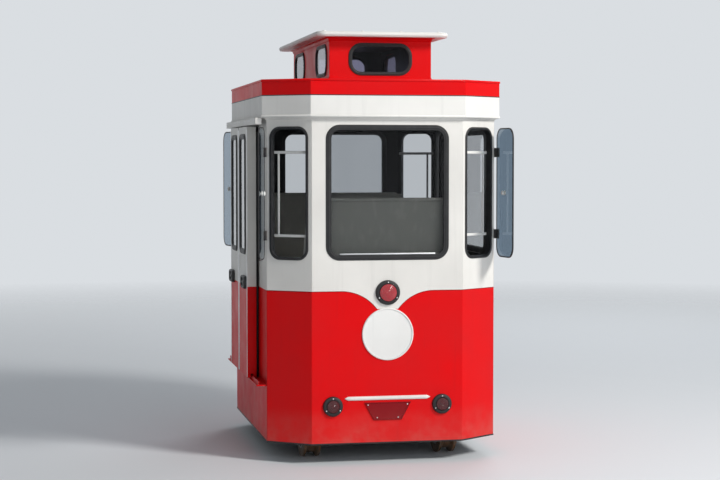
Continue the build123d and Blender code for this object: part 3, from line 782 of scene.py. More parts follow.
def on_circle(place: Matrix, radius: float, height: float, count: int, first: float) -> list[Matrix]:
    """Give frames that stand evenly on a circle round a frame's Z.

    Args:
        place: Frame in the middle of the circle.
        radius: Radius of the circle.
        height: Height of the frames over that middle.
        count: How many frames there are.
        first: Degrees from the frame's X to the first of them.

    Returns:
        The frames, all turned alike.
    """
    angles = [math.radians(first + 360.0 * turn / count) for turn in range(count)]
    return [moved(place, radius * math.cos(angle), radius * math.sin(angle), height) for angle in angles]


def put_in_scene(name: str, data: object) -> bpy.types.Object:
    """Add an object with its data to the scene.

    Args:
        name: Name of the object.
        data: Its mesh, lamp or camera.

    Returns:
        The object.
    """
    item = bpy.data.objects.new(name, data)
    bpy.context.scene.collection.objects.link(item)
    return item


def look_at(item: bpy.types.Object, place: Sequence[float], target: Sequence[float]) -> None:
    """Stand an object at a place and turn it towards a target."""
    item.location = place
    item.rotation_euler = (Vector(target) - Vector(place)).to_track_quat("-Z", "Y").to_euler()


def round_loop(width: float, height: float, radius: float, steps: int = 9) -> Path:
    """Give a closed path round a rectangle with round corners, centred on the origin.

    Args:
        width: Full width.
        height: Full height.
        radius: Radius of the corners.
        steps: Flats in each corner.

    Returns:
        Points with their outward directions.
    """
    path = []
    for quarter, (side, up) in enumerate(QUARTERS):
        middle_x = side * (width / 2 - radius)
        middle_y = up * (height / 2 - radius)
        for step in range(steps + 1):
            angle = math.pi / 2 * (quarter + step / steps)
            out = (math.cos(angle), math.sin(angle))
            path.append(((middle_x + radius * out[0], middle_y + radius * out[1]), out))
    return path


@dataclass(frozen=True)
class Plan:
    """The octagonal plan of the body.

    Attributes:
        half_width: From the middle to the outside of a side wall.
        half_length: From the middle to the outside of an end wall.
        corner_x: Corner facet, measured across the cabin.
        corner_y: Corner facet, measured along the cabin.
        wall: Thickness of the walls.
    """

    half_width: float
    half_length: float
    corner_x: float = 0.260
    corner_y: float = 0.190
    wall: float = 0.030

    def corners(self, grow: float) -> list[tuple[float, float]]:
        """Give the corners of the plan with every wall moved out.

        Args:
            grow: Distance that the walls move out.

        Returns:
            The eight corners, going round.
        """
        facet = math.hypot(self.corner_x, self.corner_y)
        x_side = self.half_width + grow
        y_side = self.half_length - self.corner_y + grow * (facet - self.corner_y) / self.corner_x
        x_end = self.half_width - self.corner_x + grow * (facet - self.corner_x) / self.corner_y
        y_end = self.half_length + grow
        quarter = ((x_side, y_side), (x_end, y_end))
        turned = [(-x, y) for x, y in reversed(quarter)]
        half = [*quarter, *turned]
        return half + [(-x, -y) for x, y in half]

    def band(self, shape: Shape, section: Section) -> None:
        """Add a bead that runs round the body with mitred corners.

        Args:
            shape: The mesh that takes the bead.
            section: Distance outside the walls and height of each point.
        """
        columns = [[(x, y, height) for x, y in self.corners(grow)] for grow, height in section]
        rings = [shape.ring(LEVEL, column) for column in columns]
        shape.skin(rings, True)

    def end(self, end: int, x: float, height: float, reach: float = 0.0) -> Matrix:
        """Give a frame on an end wall, reach in front of it."""
        return on_face((x, end * (self.half_length + reach), height), (0.0, end, 0.0))

    def side(self, side: int, y: float, height: float, reach: float = 0.0) -> Matrix:
        """Give a frame on a side wall, reach in front of it."""
        return on_face((side * (self.half_width + reach), y, height), (side, 0.0, 0.0))

    def facet(self, side: int, end: int, height: float) -> Matrix:
        """Give a frame in the middle of a corner facet."""
        x = side * (self.half_width - self.corner_x / 2)
        y = end * (self.half_length - self.corner_y / 2)
        return on_face((x, y, height), (side * self.corner_y, end * self.corner_x, 0.0))


@dataclass
class Workshop:
    """Turns finished meshes into named pieces that ride on a body.

    Attributes:
        plan: The body's plan.
        finishes: Material of each slot.
    """

    plan: Plan
    finishes: dict[Slot, bpy.types.Material]

    def dress_nodes(self) -> None:
        """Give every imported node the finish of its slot."""
        for part in frame["record"]["subparts"]:
            material = self.finishes[Slot(part["material_slot"])]
            for holder in frame["nodes"][part["node"]].material_slots:
                holder.material = material

    def piece(
        self, name: str, shape: Shape, slot: Slot, body: Body = Body.CABIN, instead_of: Sequence[str] = ()
    ) -> None:
        """Make a piece of a shape.

        Args:
            name: Name of the piece.
            shape: Its shape.
            slot: Slot of its finish.
            body: Body that it rides on.
            instead_of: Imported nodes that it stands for.
        """
        bmesh.ops.recalc_face_normals(shape.mesh, faces=shape.mesh.faces)
        mesh = shape.finish(name)
        for face in mesh.polygons:
            face.use_smooth = True
        mesh.set_sharp_from_angle(angle=SHARP)
        mesh.materials.append(self.finishes[slot])
        item = put_in_scene(name, mesh)
        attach(item, body.value)
        if instead_of:
            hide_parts(*instead_of)
        LOG.info("%s: %d faces on %s", name, len(mesh.polygons), body.value)


@dataclass(frozen=True)
class Window:
    """One glazed window.

    Attributes:
        place: Frame in the middle of its face.
        width: Width over the rubber.
        height: Height over the rubber.
        radius: Radius of the rubber's outer corners.
    """

    place: Matrix
    width: float
    height: float
    radius: float


@dataclass
class Trim:
    """What dresses one sub-assembly.

    Attributes:
        shop: Workshop that makes its pieces.
    """

    shop: Workshop


@dataclass
class WindowTrim(Trim):
    """Lips and locking strip of the rubber round glazed windows.

    Attributes:
        face: Width of the rubber ring.
        proud: Height of the rubber ring above the wall.
        lip: How far a lip reaches past the ring.
        strip: Half of the locking strip's width.
        sill: Height, reach and edge rounding of a drain strip.
    """

    face: float = 0.028
    proud: float = 0.006
    lip: float = 0.004
    strip: float = 0.006
    sill: tuple[float, float, float] = (0.009, 0.004, 0.0016)

    def sections(self) -> list[Section]:
        """Give the sections that are drawn round a window.

        Returns:
            The locking strip, the lip on the wall and the lip on the glass.
        """
        crown = ((-1.0, -0.001), (-0.8, 0.002), (0.0, 0.0032), (0.8, 0.002), (1.0, -0.001))
        strip = [(self.strip * reach - self.face / 2, self.proud + height) for reach, height in crown]
        tuck, least = 0.002, 0.0002
        wall_lip = [
            (-tuck, self.proud), (self.lip / 2, 0.75 * self.proud), (self.lip, 0.2 * self.proud),
            (self.lip, 0.0), (-tuck, 0.0),
        ]
        glass_lip = [(-self.face - reach, max(height, least)) for reach, height in wall_lip]
        return [strip, wall_lip, glass_lip]

    def build(self, name: str, windows: Sequence[Window], body: Body = Body.CABIN) -> None:
        """Dress some windows of one body.

        Args:
            name: Name of the piece.
            windows: The windows.
            body: Body that they ride on.
        """
        shape = Shape()
        for window in windows:
            path = round_loop(window.width, window.height, window.radius)
            for section in self.sections():
                shape.sweep(window.place, path, section)
        self.shop.piece(name, shape, Slot.RUBBER, body)

    def sills(self, name: str, windows: Sequence[Window]) -> None:
        """Add a bright drain strip along the foot of some panes.

        Args:
            name: Name of the piece.
            windows: The windows.
        """
        height, reach, edge = self.sill
        shape = Shape()
        for window in windows:
            half = window.width / 2 - window.radius
            foot = self.face + self.lip - window.height / 2
            shape.block(window.place, (-half, foot, -SKIM), (half, foot + height, reach), edge)
        self.shop.piece(name, shape, Slot.BRIGHT)


@dataclass
class CornerTrim(Trim):
    """Edge seals, open sashes' rims, knobs and fixings at the four corners.

    Attributes:
        opening: Width, height and corner radius of a corner opening.
        middle: Height of the middle of the openings.
        sash_size: Width, height and corner radius of a sash.
        sash_start: From the hinge pin to the sash.
        pane: Thickness of a sash's pane inside its rim.
        pane_inset: From the sash's edge to its pane's.
        flares: Degrees that the open sashes lean out, front left and right, then rear.
        pin_reach: From the side wall's face to the hinge pin.
        pin_shift: From the side wall's end to the hinge pin.
        hinges: Heights of the hinges and guard bars.
        screw: Radius of the screws' heads.
        screw_lift: From the middle of a hinge up or down to a screw.
        wall_leaf: From the wall's end to the screws of a hinge's leaf there, and its thickness.
        sash_leaf: From the sash's edge to the screws of the leaf there, and that leaf's face.
        bar: Height and thickness of a level guard bar.
        bar_end: From the edge of the opening to the end of a level bar.
        upright: Width of the upright guard bar.
        upright_shift: From the middle of the opening to the upright, towards the hinges.
    """

    opening: tuple[float, float, float] = (0.250, 0.820, 0.060)
    middle: float = 1.720
    sash_size: tuple[float, float, float] = (0.262, 0.836, 0.070)
    sash_start: float = 0.012
    pane: float = 0.0064
    pane_inset: float = 0.003
    flares: tuple[float, ...] = (16.0, 8.0, 10.0, 10.0)
    pin_reach: float = 0.012
    pin_shift: float = 0.008
    hinges: tuple[float, float] = (1.450, 1.980)
    screw: float = 0.0045
    screw_lift: float = 0.018
    wall_leaf: tuple[float, float] = (0.022, 0.004)
    sash_leaf: tuple[float, float] = (0.018, 0.008)
    bar: tuple[float, float] = (0.018, 0.008)
    bar_end: float = 0.014
    upright: float = 0.014
    upright_shift: float = 0.090

    def sash_frame(self, plan: Plan, side: int, end: int) -> Matrix:
        """Give the frame in the middle of an open sash, X towards its free edge.

        Args:
            plan: The body's plan.
            side: -1 for left and 1 for right.
            end: -1 for front and 1 for rear.

        Returns:
            The frame, with Z away from the cabin.
        """
        flare = math.radians(self.flares[(end + 1) + (side + 1) // 2])
        along = Vector((side * math.sin(flare), end * math.cos(flare), 0.0))
        out = Vector((side * math.cos(flare), -end * math.sin(flare), 0.0))
        pin_x = side * (plan.half_width + self.pin_reach)
        pin_y = end * (plan.half_length - plan.corner_y + self.pin_shift)
        reach = self.sash_start + self.sash_size[0] / 2
        origin = Vector((pin_x, pin_y, self.middle)) + along * reach
        turn = Matrix((along, UP, out)).transposed().to_4x4()
        return Matrix.Translation(origin) @ turn

    def seal(self, wall: float) -> Section:
        """Give the section of the seal that laps both faces of a wall of this thickness."""
        return (
            (-0.005, -wall - 0.003), (-0.005, 0.004), (-0.001, 0.0065), (0.007, 0.0065), (0.013, 0.003),
            (0.013, 0.0), (0.001, 0.0), (0.001, -wall), (0.010, -wall), (0.010, -wall - 0.003),
        )

    def build(self) -> None:
        """Dress the corners."""
        rim = (
            (-0.008, 0.0040), (-0.0014, 0.0040), (0.0, 0.0026), (0.0, -0.0026), (-0.0014, -0.0040),
            (-0.008, -0.0040), (-0.008, -0.0030), (-0.004, -0.0030), (-0.004, 0.0030), (-0.008, 0.0030),
        )
        knob = (
            (0.0, 0.0030), (0.016, 0.0030), (0.016, 0.0060), (0.0075, 0.0075), (0.0065, 0.0115),
            (0.0125, 0.0145), (0.0150, 0.0185), (0.0125, 0.0225), (0.0065, 0.0245), (0.0, 0.0250),
        )
        washer = knob[:4]
        plan = self.shop.plan
        faces = ((self.pane_inset, -self.pane / 2), (self.pane_inset, self.pane / 2))
        seals, panes, rims, knobs, fixings, guards = (Shape() for _ in range(6))
        for side, end in CORNERS:
            facet = plan.facet(side, end, self.middle)
            seals.sweep(facet, round_loop(*self.opening), self.seal(plan.wall))
            sash = self.sash_frame(plan, side, end)
            panes.mound(sash, self.sash_size, faces)
            rims.sweep(sash, round_loop(*self.sash_size), rim)
            knobs.lathe(sash @ Matrix.Rotation(math.pi, 4, "X"), knob, steps=28)
            knobs.lathe(sash, washer, steps=28)
            self.fix(fixings, plan, sash, side, end)
            inside = moved(facet, 0.0, 0.0, -plan.wall)
            self.guard(guards, inside, -side * end * self.upright_shift)
        self.shop.piece("corner_seals", seals, Slot.RUBBER)
        self.shop.piece("sash_panes", panes, Slot.SMOKE, instead_of=("window_sashes",))
        self.shop.piece("sash_rims", rims, Slot.RUBBER)
        self.shop.piece("sash_knobs", knobs, Slot.KNOB, instead_of=("window_knobs",))
        self.shop.piece("corner_screws", fixings, Slot.BRIGHT)
        self.shop.piece("guard_bars", guards, Slot.ROOF, instead_of=("window_guards",))

    def guard(self, shape: Shape, inside: Matrix, shift: float) -> None:
        """Add the bars across one opening: two level ones and an upright, with soft edges.

        Args:
            shape: The mesh that takes the bars.
            inside: Frame on the wall's inner face, in the middle of the opening.
            shift: Place of the upright along the frame's X.
        """
        depth, thick = self.bar
        reach = self.opening[0] / 2 + self.bar_end
        foot, top = (height - self.middle for height in self.hinges)
        for level in (foot, top):
            low = (-reach, level - depth / 2, -thick)
            shape.block(inside, low, (reach, level + depth / 2, 0.0), edge=0.0025)
        half = self.upright / 2
        low = (shift - half, foot, SKIM - thick)
        shape.block(inside, low, (shift + half, top, -SKIM), edge=0.0025)

    def fix(self, shape: Shape, plan: Plan, sash: Matrix, side: int, end: int) -> None:
        """Add the screws of one corner's hinges and guard bars.

        Args:
            shape: The mesh that takes the screws.
            plan: The body's plan.
            sash: Frame of the open sash.
            side: -1 for left and 1 for right.
            end: -1 for front and 1 for rear.
        """
        wall_inset, wall_face = self.wall_leaf
        sash_inset, sash_face = self.sash_leaf
        y = end * (plan.half_length - plan.corner_y - wall_inset)
        bar_reach = self.opening[0] / 2 + self.bar_end / 2
        leaf_x = sash_inset - self.sash_size[0] / 2
        for height in self.hinges:
            for lift in (-self.screw_lift, self.screw_lift):
                shape.screw(plan.side(side, y, height + lift, wall_face), self.screw)
                up = height - self.middle + lift
                shape.screw(moved(sash, leaf_x, up, sash_face), self.screw)
            for edge in SIDES:
                inner = moved(plan.facet(side, end, height), edge * bar_reach, 0.0)
                turned = inner @ Matrix.Rotation(math.pi, 4, "Y")
                shape.screw(moved(turned, 0.0, 0.0, plan.wall + self.bar[1]), self.screw)


@dataclass
class RoofTrim(Trim):
    """Beads, joints, flashings and fixings of the roof, and near-black sheets of painted shade under it.

    Attributes:
        band_foot: Height of the foot of the white band.
        band_top: Height where the band meets the red deck.
        deck_top: Height of the deck.
        cap_foot: Height of the foot of the cap.
        overhang: Distance from the walls to the band's face.
        drip: Height and reach of the bead along the band's foot.
        joint: Height and reach of the sealed joint between band and deck.
        gutter: Height and reach of the bead along the deck's edge.
        gutter_drop: From the deck's top down to the foot of that bead.
        lantern_wall: Thickness of the clerestory's walls and of the gap beside the sheet of painted shade.
        crown: Inset and height above the cap's foot of each loop of the cap.
        cap_radius: Radius of the cap's corners.
        cover: Radius of a screw cover.
        cover_inset: From the cap's edge to its screw covers.
        cover_height: Height of the crown under the screw covers.
        cover_parts: Parts of half an edge between the screw covers.
        shade_lining: Thickness of the near-black sheets of painted shade under the deck and the cap.
        shade_lining_drop: From the deck's top to the top of the sheet under it.
    """

    band_foot: float
    band_top: float
    deck_top: float
    cap_foot: float
    overhang: float = 0.030
    drip: tuple[float, float] = (0.016, 0.006)
    joint: tuple[float, float] = (0.006, 0.0014)
    gutter: tuple[float, float] = (0.016, 0.005)
    gutter_drop: float = 0.014
    lantern_wall: float = 0.027
    crown: Section = (
        (0.0, 0.0), (0.0, 0.024), (0.0015, 0.0275), (0.005, 0.0302), (0.012, 0.0318), (0.055, 0.0335),
        (0.110, 0.0352), (0.180, 0.0372), (0.300, 0.0392),
    )
    cap_radius: float = 0.060
    cover: float = 0.011
    cover_inset: float = 0.055
    cover_height: float = 0.0335
    cover_parts: int = 3
    shade_lining: float = 0.005
    shade_lining_drop: float = 0.030

    def build(self) -> None:
        """Dress the roof."""
        self.beads()
        self.lantern()
        self.cap()
        self.ceiling()

    def bead(self, foot: float, size: tuple[float, float]) -> Section:
        """Give the section of a half-round bead on the band's face.

        Args:
            foot: Height of its foot.
            size: Its own height, and how far it stands out.

        Returns:
            The section for a band round the plan.
        """
        rise, reach = size
        steps = 6
        arc = []
        for step in range(steps + 1):
            angle = math.pi * step / steps
            height = foot + rise / 2 - rise / 2 * math.cos(angle)
            arc.append((self.overhang + reach * math.sin(angle), height))
        back = self.overhang - 0.003
        return [*arc, (back, foot + rise), (back, foot)]

    def beads(self) -> None:
        """Add the beads and joints that run round the band and deck."""
        band_cove = ((0.0, -0.016), (0.010, -0.004), (0.012, 0.001), (-0.002, 0.001), (-0.002, -0.016))
        cove = [(reach, self.band_foot + height) for reach, height in band_cove]
        for name, section, slot in (
            ("cornice_drip", self.bead(self.band_foot, self.drip), Slot.ROOF),
            ("cornice_joint", self.bead(self.band_top - self.joint[0] / 2, self.joint), Slot.RUBBER),
            ("deck_gutter", self.bead(self.deck_top - self.gutter_drop, self.gutter), Slot.RED),
            ("cornice_cove", cove, Slot.CREAM),
        ):
            shape = Shape()
            self.shop.plan.band(shape, section)
            self.shop.piece(name, shape, slot)

    def lantern(self) -> None:
        """Add the flashings at the foot and head of the clerestory."""
        cove = (
            (-0.001, -0.001), (0.026, -0.001), (0.024, 0.003), (0.010, 0.008), (0.004, 0.020),
            (-0.001, 0.026),
        )
        low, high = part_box("clerestory_walls")
        walls = round_loop(high.x - low.x, high.y - low.y, radius=0.001, steps=1)
        shape = Shape()
        for level, turn in ((self.deck_top, 1), (self.cap_foot, -1)):
            shape.sweep(LEVEL, walls, [(reach, level + turn * height) for reach, height in cove])
        self.shop.piece("clerestory_flashings", shape, Slot.RED)

    def cap(self) -> None:
        """Add the crowned cap with its edge bead and screw covers."""
        cap_lip = (
            (-0.002, 0.005), (0.003, 0.006), (0.006, 0.011), (0.006, 0.019), (0.003, 0.024),
            (-0.002, 0.025),
        )
        low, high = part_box("clerestory_cap")
        size = (high.x - low.x, high.y - low.y, self.cap_radius)
        foot = Matrix.Translation((0.0, 0.0, self.cap_foot))
        shape = Shape()
        shape.mound(foot, size, self.crown)
        shape.sweep(foot, round_loop(*size), cap_lip)
        for x, y in self.cap_fixings(high):
            shape.screw(moved(foot, x, y, self.cover_height), self.cover)
        self.shop.piece("crowned_cap", shape, Slot.ROOF, instead_of=("clerestory_cap",))

    def cap_fixings(self, high: Vector) -> list[tuple[float, float]]:
        """Give the places of the cap's screw covers.

        Args:
            high: Highest corner of the cap.

        Returns:
            Places in plan, along both long edges and both short ones.
        """
        x_edge = high.x - self.cover_inset
        y_edge = high.y - self.cover_inset
        places = [y_edge * (step / self.cover_parts - 1.0) for step in range(2 * self.cover_parts + 1)]
        long_rows = [(side * x_edge, y) for side in SIDES for y in places]
        x_part = x_edge / self.cover_parts
        short_rows = [(x, end * y_edge) for end in ENDS for x in (-x_part, x_part)]
        return long_rows + short_rows

    def ceiling(self) -> None:
        """Add near-black sheets of painted shade under the deck, open below the clerestory, and under the
        cap.
        """
        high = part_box("clerestory_walls")[1]
        x, y = high.x - self.lantern_wall, high.y - self.lantern_wall
        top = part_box("roof_deck")[1].z - self.shade_lining_drop
        outer = self.shop.plan.corners(-self.shop.plan.wall)
        # The rectangle's corners count twice, one for each of the octagon's.
        inner = [(side * x, end * y) for side, end in QUARTERS for _ in range(2)]
        shape = Shape()
        for height in (top - self.shade_lining, top - SKIM):
            loops = [[(*point, height) for point in loop] for loop in (outer, inner)]
            shape.skin([shape.ring(LEVEL, loop) for loop in loops], False)
        bmesh.ops.remove_doubles(shape.mesh, verts=shape.mesh.verts, dist=0.0001)
        low = (-x, -y, self.cap_foot - self.shade_lining)
        shape.block(LEVEL, low, (x, y, self.cap_foot - SKIM), edge=0.001)
        # These black sheets are painted shade for the cabin's ceiling and the clerestory's inside.
        self.shop.piece("ceiling_shade_sheet", shape, Slot.RUBBER)


@dataclass
class LampTrim(Trim):
    """Bezels, domed ribbed lenses and screws of the round lamps on both ends.

    Attributes:
        lamps: Offset from the middle, height and radius over the rim of each lamp.
        rim_width: Width of the rim round the lens.
        rim_proud: Height of the rim above the wall.
        rim_face: How far the bezel's face stands over the rim.
        edge: Height of the lens's edge over the rim.
        dome: Rise of the lens from its edge to its middle.
        ribs: Rings moulded in the lens.
        rib_half: Half of a rib's height.
        screw: Radius of the screws' heads.
        screw_inset: From the rim's edge to the screws.
    """

    lamps: tuple[tuple[float, float, float], ...] = (
        (0.0, 1.090, 0.075), (-0.355, 0.370, 0.060), (0.355, 0.370, 0.060),
    )
    rim_width: float = 0.020
    rim_proud: float = 0.014
    rim_face: float = 0.005
    edge: float = 0.008
    dome: float = 0.010
    ribs: int = 7
    rib_half: float = 0.0008
    screw: float = 0.0042
    screw_inset: float = 0.009

    def lens(self, radius: float) -> list[tuple[float, float]]:
        """Give the outline of a domed lens with moulded rings.

        Args:
            radius: Radius of the lens.

        Returns:
            Radius and height of each point, from the edge to the middle.
        """
        edge = self.rim_proud + self.edge
        steps = 6 * self.ribs
        plain = 0.1
        outline = [(radius, self.rim_proud - SINK), (radius, edge)]
        for step in range(1, steps + 1):
            reach = 1.0 - step / steps
            wave = 1.0 - math.cos(2.0 * math.pi * self.ribs * reach)
            rib = self.rib_half * wave if reach > plain else 0.0
            outline.append((radius * reach, edge + self.dome * (1.0 - reach ** 2) + rib))
        return outline

    def bezel(self, radius: float) -> Section:
        """Give the closed outline of a bezel.

        Args:
            radius: Radius of the lamp over its rim.

        Returns:
            Radius and height of each point, from the wall up the outside and back inside.
        """
        inner = radius - self.rim_width
        proud = self.rim_proud
        face = proud + self.rim_face
        return (
            (radius - 0.001, 0.0), (radius + 0.004, 0.0), (radius + 0.004, 0.009), (radius, proud + 0.002),
            (radius - 0.007, face), (inner + 0.003, face), (inner, proud + 0.001), (inner, proud - SINK),
            (radius - 0.001, proud - SINK),
        )

    def build(self) -> None:
        """Dress the lamps."""
        bezels, upper, lower, screws = (Shape() for _ in range(4))
        face = self.rim_proud + self.rim_face
        for end in ENDS:
            for lenses, (x, height, radius) in zip((upper, lower, lower), self.lamps):
                place = self.shop.plan.end(end, x, height)
                bezels.lathe(place, self.bezel(radius), steps=72, closed=True)
                lenses.lathe(place, self.lens(radius - self.rim_width - SKIM), steps=72)
                reach = radius - self.screw_inset
                for spot in on_circle(place, reach, face, count=3, first=90.0):
                    screws.screw(spot, self.screw)
        self.shop.piece("lamp_bezels", bezels, Slot.RUBBER)
        self.shop.piece("upper_lamp_domes", upper, Slot.LENS, instead_of=("lamp_lenses",))
        self.shop.piece("lower_lamp_domes", lower, Slot.DARK_LENS, instead_of=("lower_lenses",))
        self.shop.piece("lamp_screws", screws, Slot.BRIGHT)


@dataclass
class EndTrim(Trim):
    """Rim of the blank disc, half-round trim bar and edge of the blank plate on both ends.

    Attributes:
        disc_height: Height of the disc's middle.
        disc_radius: Radius of the disc.
        disc_thick: Thickness of the disc.
        bar_half: Half of the trim bar's length.
        bar_height: Height of the trim bar's middle.
        bar_depth: Height of the bar itself.
        bar_rise: How far the bar stands out.
        plate: Corners of the plate, from its lower left one, in the end wall's frame.
        plate_thick: Thickness of the plate.
        rivet: Radius of the rivets' heads.
        rivet_inset: From a corner of the plate to its rivet, across and up.
    """

    disc_height: float = 0.825
    disc_radius: float = 0.165
    disc_thick: float = 0.006
    bar_half: float = 0.280
    bar_height: float = 0.417
    bar_depth: float = 0.026
    bar_rise: float = 0.010
    plate: tuple[tuple[float, float], ...] = (
        (-0.090, 0.278), (0.090, 0.278), (0.150, 0.388), (-0.150, 0.388),
    )
    plate_thick: float = 0.005
    rivet: float = 0.0042
    rivet_inset: tuple[float, float] = (0.022, 0.014)

    def build(self) -> None:
        """Dress both ends."""
        plan = self.shop.plan
        discs, bars, plates, rivets = (Shape() for _ in range(4))
        for end in ENDS:
            discs.lathe(plan.end(end, 0.0, self.disc_height), self.disc_rim(), steps=96, closed=True)
            self.bar(bars, plan.end(end, 0.0, self.bar_height))
            self.edge(plates, rivets, plan.end(end, 0.0, 0.0))
        self.shop.piece("disc_rims", discs, Slot.DISC)
        self.shop.piece("trim_bars", bars, Slot.ROOF, instead_of=("lower_trim",))
        self.shop.piece("plate_edges", plates, Slot.PLATE)
        self.shop.piece("plate_rivets", rivets, Slot.BRIGHT)

    def disc_rim(self) -> Section:
        """Give the closed outline of the rim round a disc."""
        edge, top = self.disc_radius, self.disc_thick
        return (
            (edge - 0.010, top - SINK), (edge - 0.008, top + 0.003), (edge - 0.001, top + 0.003),
            (edge + 0.002, top), (edge + 0.002, 0.0), (edge - 0.001, 0.0), (edge - 0.001, top - SINK),
        )

    def bar(self, shape: Shape, place: Matrix) -> None:
        """Add one half-round bar that narrows to round tips.

        Args:
            shape: The mesh that takes the bar.
            place: Frame in the middle of the bar.
        """
        steps, flats = 24, 10
        tip, least = 0.08, 0.06
        angles = [math.pi * turn / flats for turn in range(flats + 1)]
        rings = []
        for step in range(steps + 1):
            travel = -1.0 + 2.0 * step / steps
            fall = max(0.0, abs(travel) - (1.0 - tip)) / tip
            size = math.sqrt(max(0.0, 1.0 - fall ** 2)) * (1.0 - least) + least
            depth, rise = self.bar_depth / 2 * size, self.bar_rise * size
            points = [
                (travel * self.bar_half, depth * math.cos(angle), rise * math.sin(angle) - SKIM)
                for angle in angles
            ]
            rings.append(shape.ring(place, points))
        shape.skin(rings, False)
        for ring in (rings[0], rings[-1]):
            shape.mesh.faces.new(ring)

    def edge(self, shape: Shape, rivets: Shape, place: Matrix) -> None:
        """Add the raised edge of one plate and its four rivets.

        Args:
            shape: The mesh that takes the edge.
            rivets: The mesh that takes the rivets.
            place: Frame of the end wall at the cabin's foot.
        """
        top = self.plate_thick
        middle = (self.plate[0][1] + self.plate[2][1]) / 2
        in_x, in_y = self.rivet_inset
        slant = 0.8
        path = []
        for x, y in self.plate:
            side, up = math.copysign(1.0, x), math.copysign(1.0, y - middle)
            path.append(((x, y), (side, up * slant)))
            rivets.screw(moved(place, x - side * in_x, y - up * in_y, top), self.rivet)
        section = (
            (-0.006, top - SINK), (-0.005, top + 0.0025), (0.0, top + 0.0025), (0.0015, top),
            (0.0015, 0.0), (0.0, 0.0),
        )
        shape.sweep(place, path, section)


@dataclass
class SkirtTrim(Trim):
    """Black edging along the body's foot and a dark bead at its waist, which also paint the shadow under the
    skirt and the shade in the waist groove.

    Attributes:
        foot: Height of the body's foot.
        waist: Height where the red mouldings meet the cream ones.
        lap: Height of the edging over the wall's faces.
        swoop: Half of the swoop's width at the waist and at its tip, and its height.
        bead: Width of the bead, a seal whose dark colour also paints the shade line in the waist groove.
    """

    foot: float
    waist: float
    lap: float = 0.005
    swoop: tuple[float, float, float] = (0.300, 0.070, 0.115)
    bead: float = 0.004

    def build(self) -> None:
        """Add the edging and the joint."""
        plan = self.shop.plan
        # The edging's black is partly rubber and partly a painted shadow line along the skirt's foot.
        edging = Shape()
        plan.band(edging, self.edging(plan.wall))
        self.shop.piece("skirt_edging_and_shade_line", edging, Slot.RUBBER)
        # The waist bead's dark red is partly a seal and partly painted shade of the groove between red and
        # cream.
        joint = Shape()
        facet_half = math.hypot(plan.corner_x, plan.corner_y) / 2
        for end in ENDS:
            wall_end = plan.end(end, 0.0, self.waist)
            for side in SIDES:
                joint.sweep(wall_end, self.swoop_path(side, plan), self.section(), False)
                facet = plan.facet(side, end, self.waist)
                joint.sweep(facet, self.straight(facet_half), self.section(), False)
        right = plan.side(1, 0.0, self.waist)
        joint.sweep(right, self.straight(plan.half_length - plan.corner_y), self.section(), False)
        self.shop.piece("waist_joint_and_shade_line", joint, Slot.PLATE)

    def edging(self, wall: float) -> Section:
        """Give the closed section of the edging that wraps the walls' foot.

        Args:
            wall: Thickness of the walls.

        Returns:
            Distance outside the walls and height of each point.
        """
        thick, drop, turn = 0.002, 0.005, 0.002
        top = self.foot + self.lap
        low = self.foot - drop
        return (
            (0.0, top), (thick, top - 0.001), (thick, low + turn), (0.0, low), (-wall, low),
            (-wall - thick, low + turn), (-wall - thick, top - 0.001), (-wall, top),
            (-wall, self.foot), (0.0, self.foot),
        )

    def section(self) -> Section:
        """Give the section of the sealing bead across its path.

        Returns:
            Distance up from the path's line and height over the wall of each point.
        """
        half = self.bead / 2
        flat, rise, sink = 0.6 * half, 0.0009, 0.0003
        return ((-half, -sink), (-flat, rise), (flat, rise), (half, -sink))

    def straight(self, half: float) -> Path:
        """Give a level path of the bead, half metres to each side."""
        return [((x, 0.0), (0.0, 1.0)) for x in (-half, half)]

    def swoop_path(self, side: int, plan: Plan) -> Path:
        """Give the bead's path from a corner along the waist and down the swoop.

        Args:
            side: Side of the end wall, seen from outside.
            plan: The body's plan.

        Returns:
            Points with their directions up from the red moulding.
        """
        wide, tip, drop = self.swoop
        run = wide - tip
        radius = (run ** 2 + drop ** 2) / (2.0 * drop)
        turn = math.asin(run / radius)
        path = [((side * (plan.half_width - plan.corner_x), 0.0), (0.0, 1.0))]
        steps = 16
        for step in range(steps + 1):
            angle = turn * step / steps
            across, up = math.sin(angle), math.cos(angle)
            point = (side * (wide - radius * across), radius * (up - 1.0))
            path.append((point, (-side * across, up)))
        return path


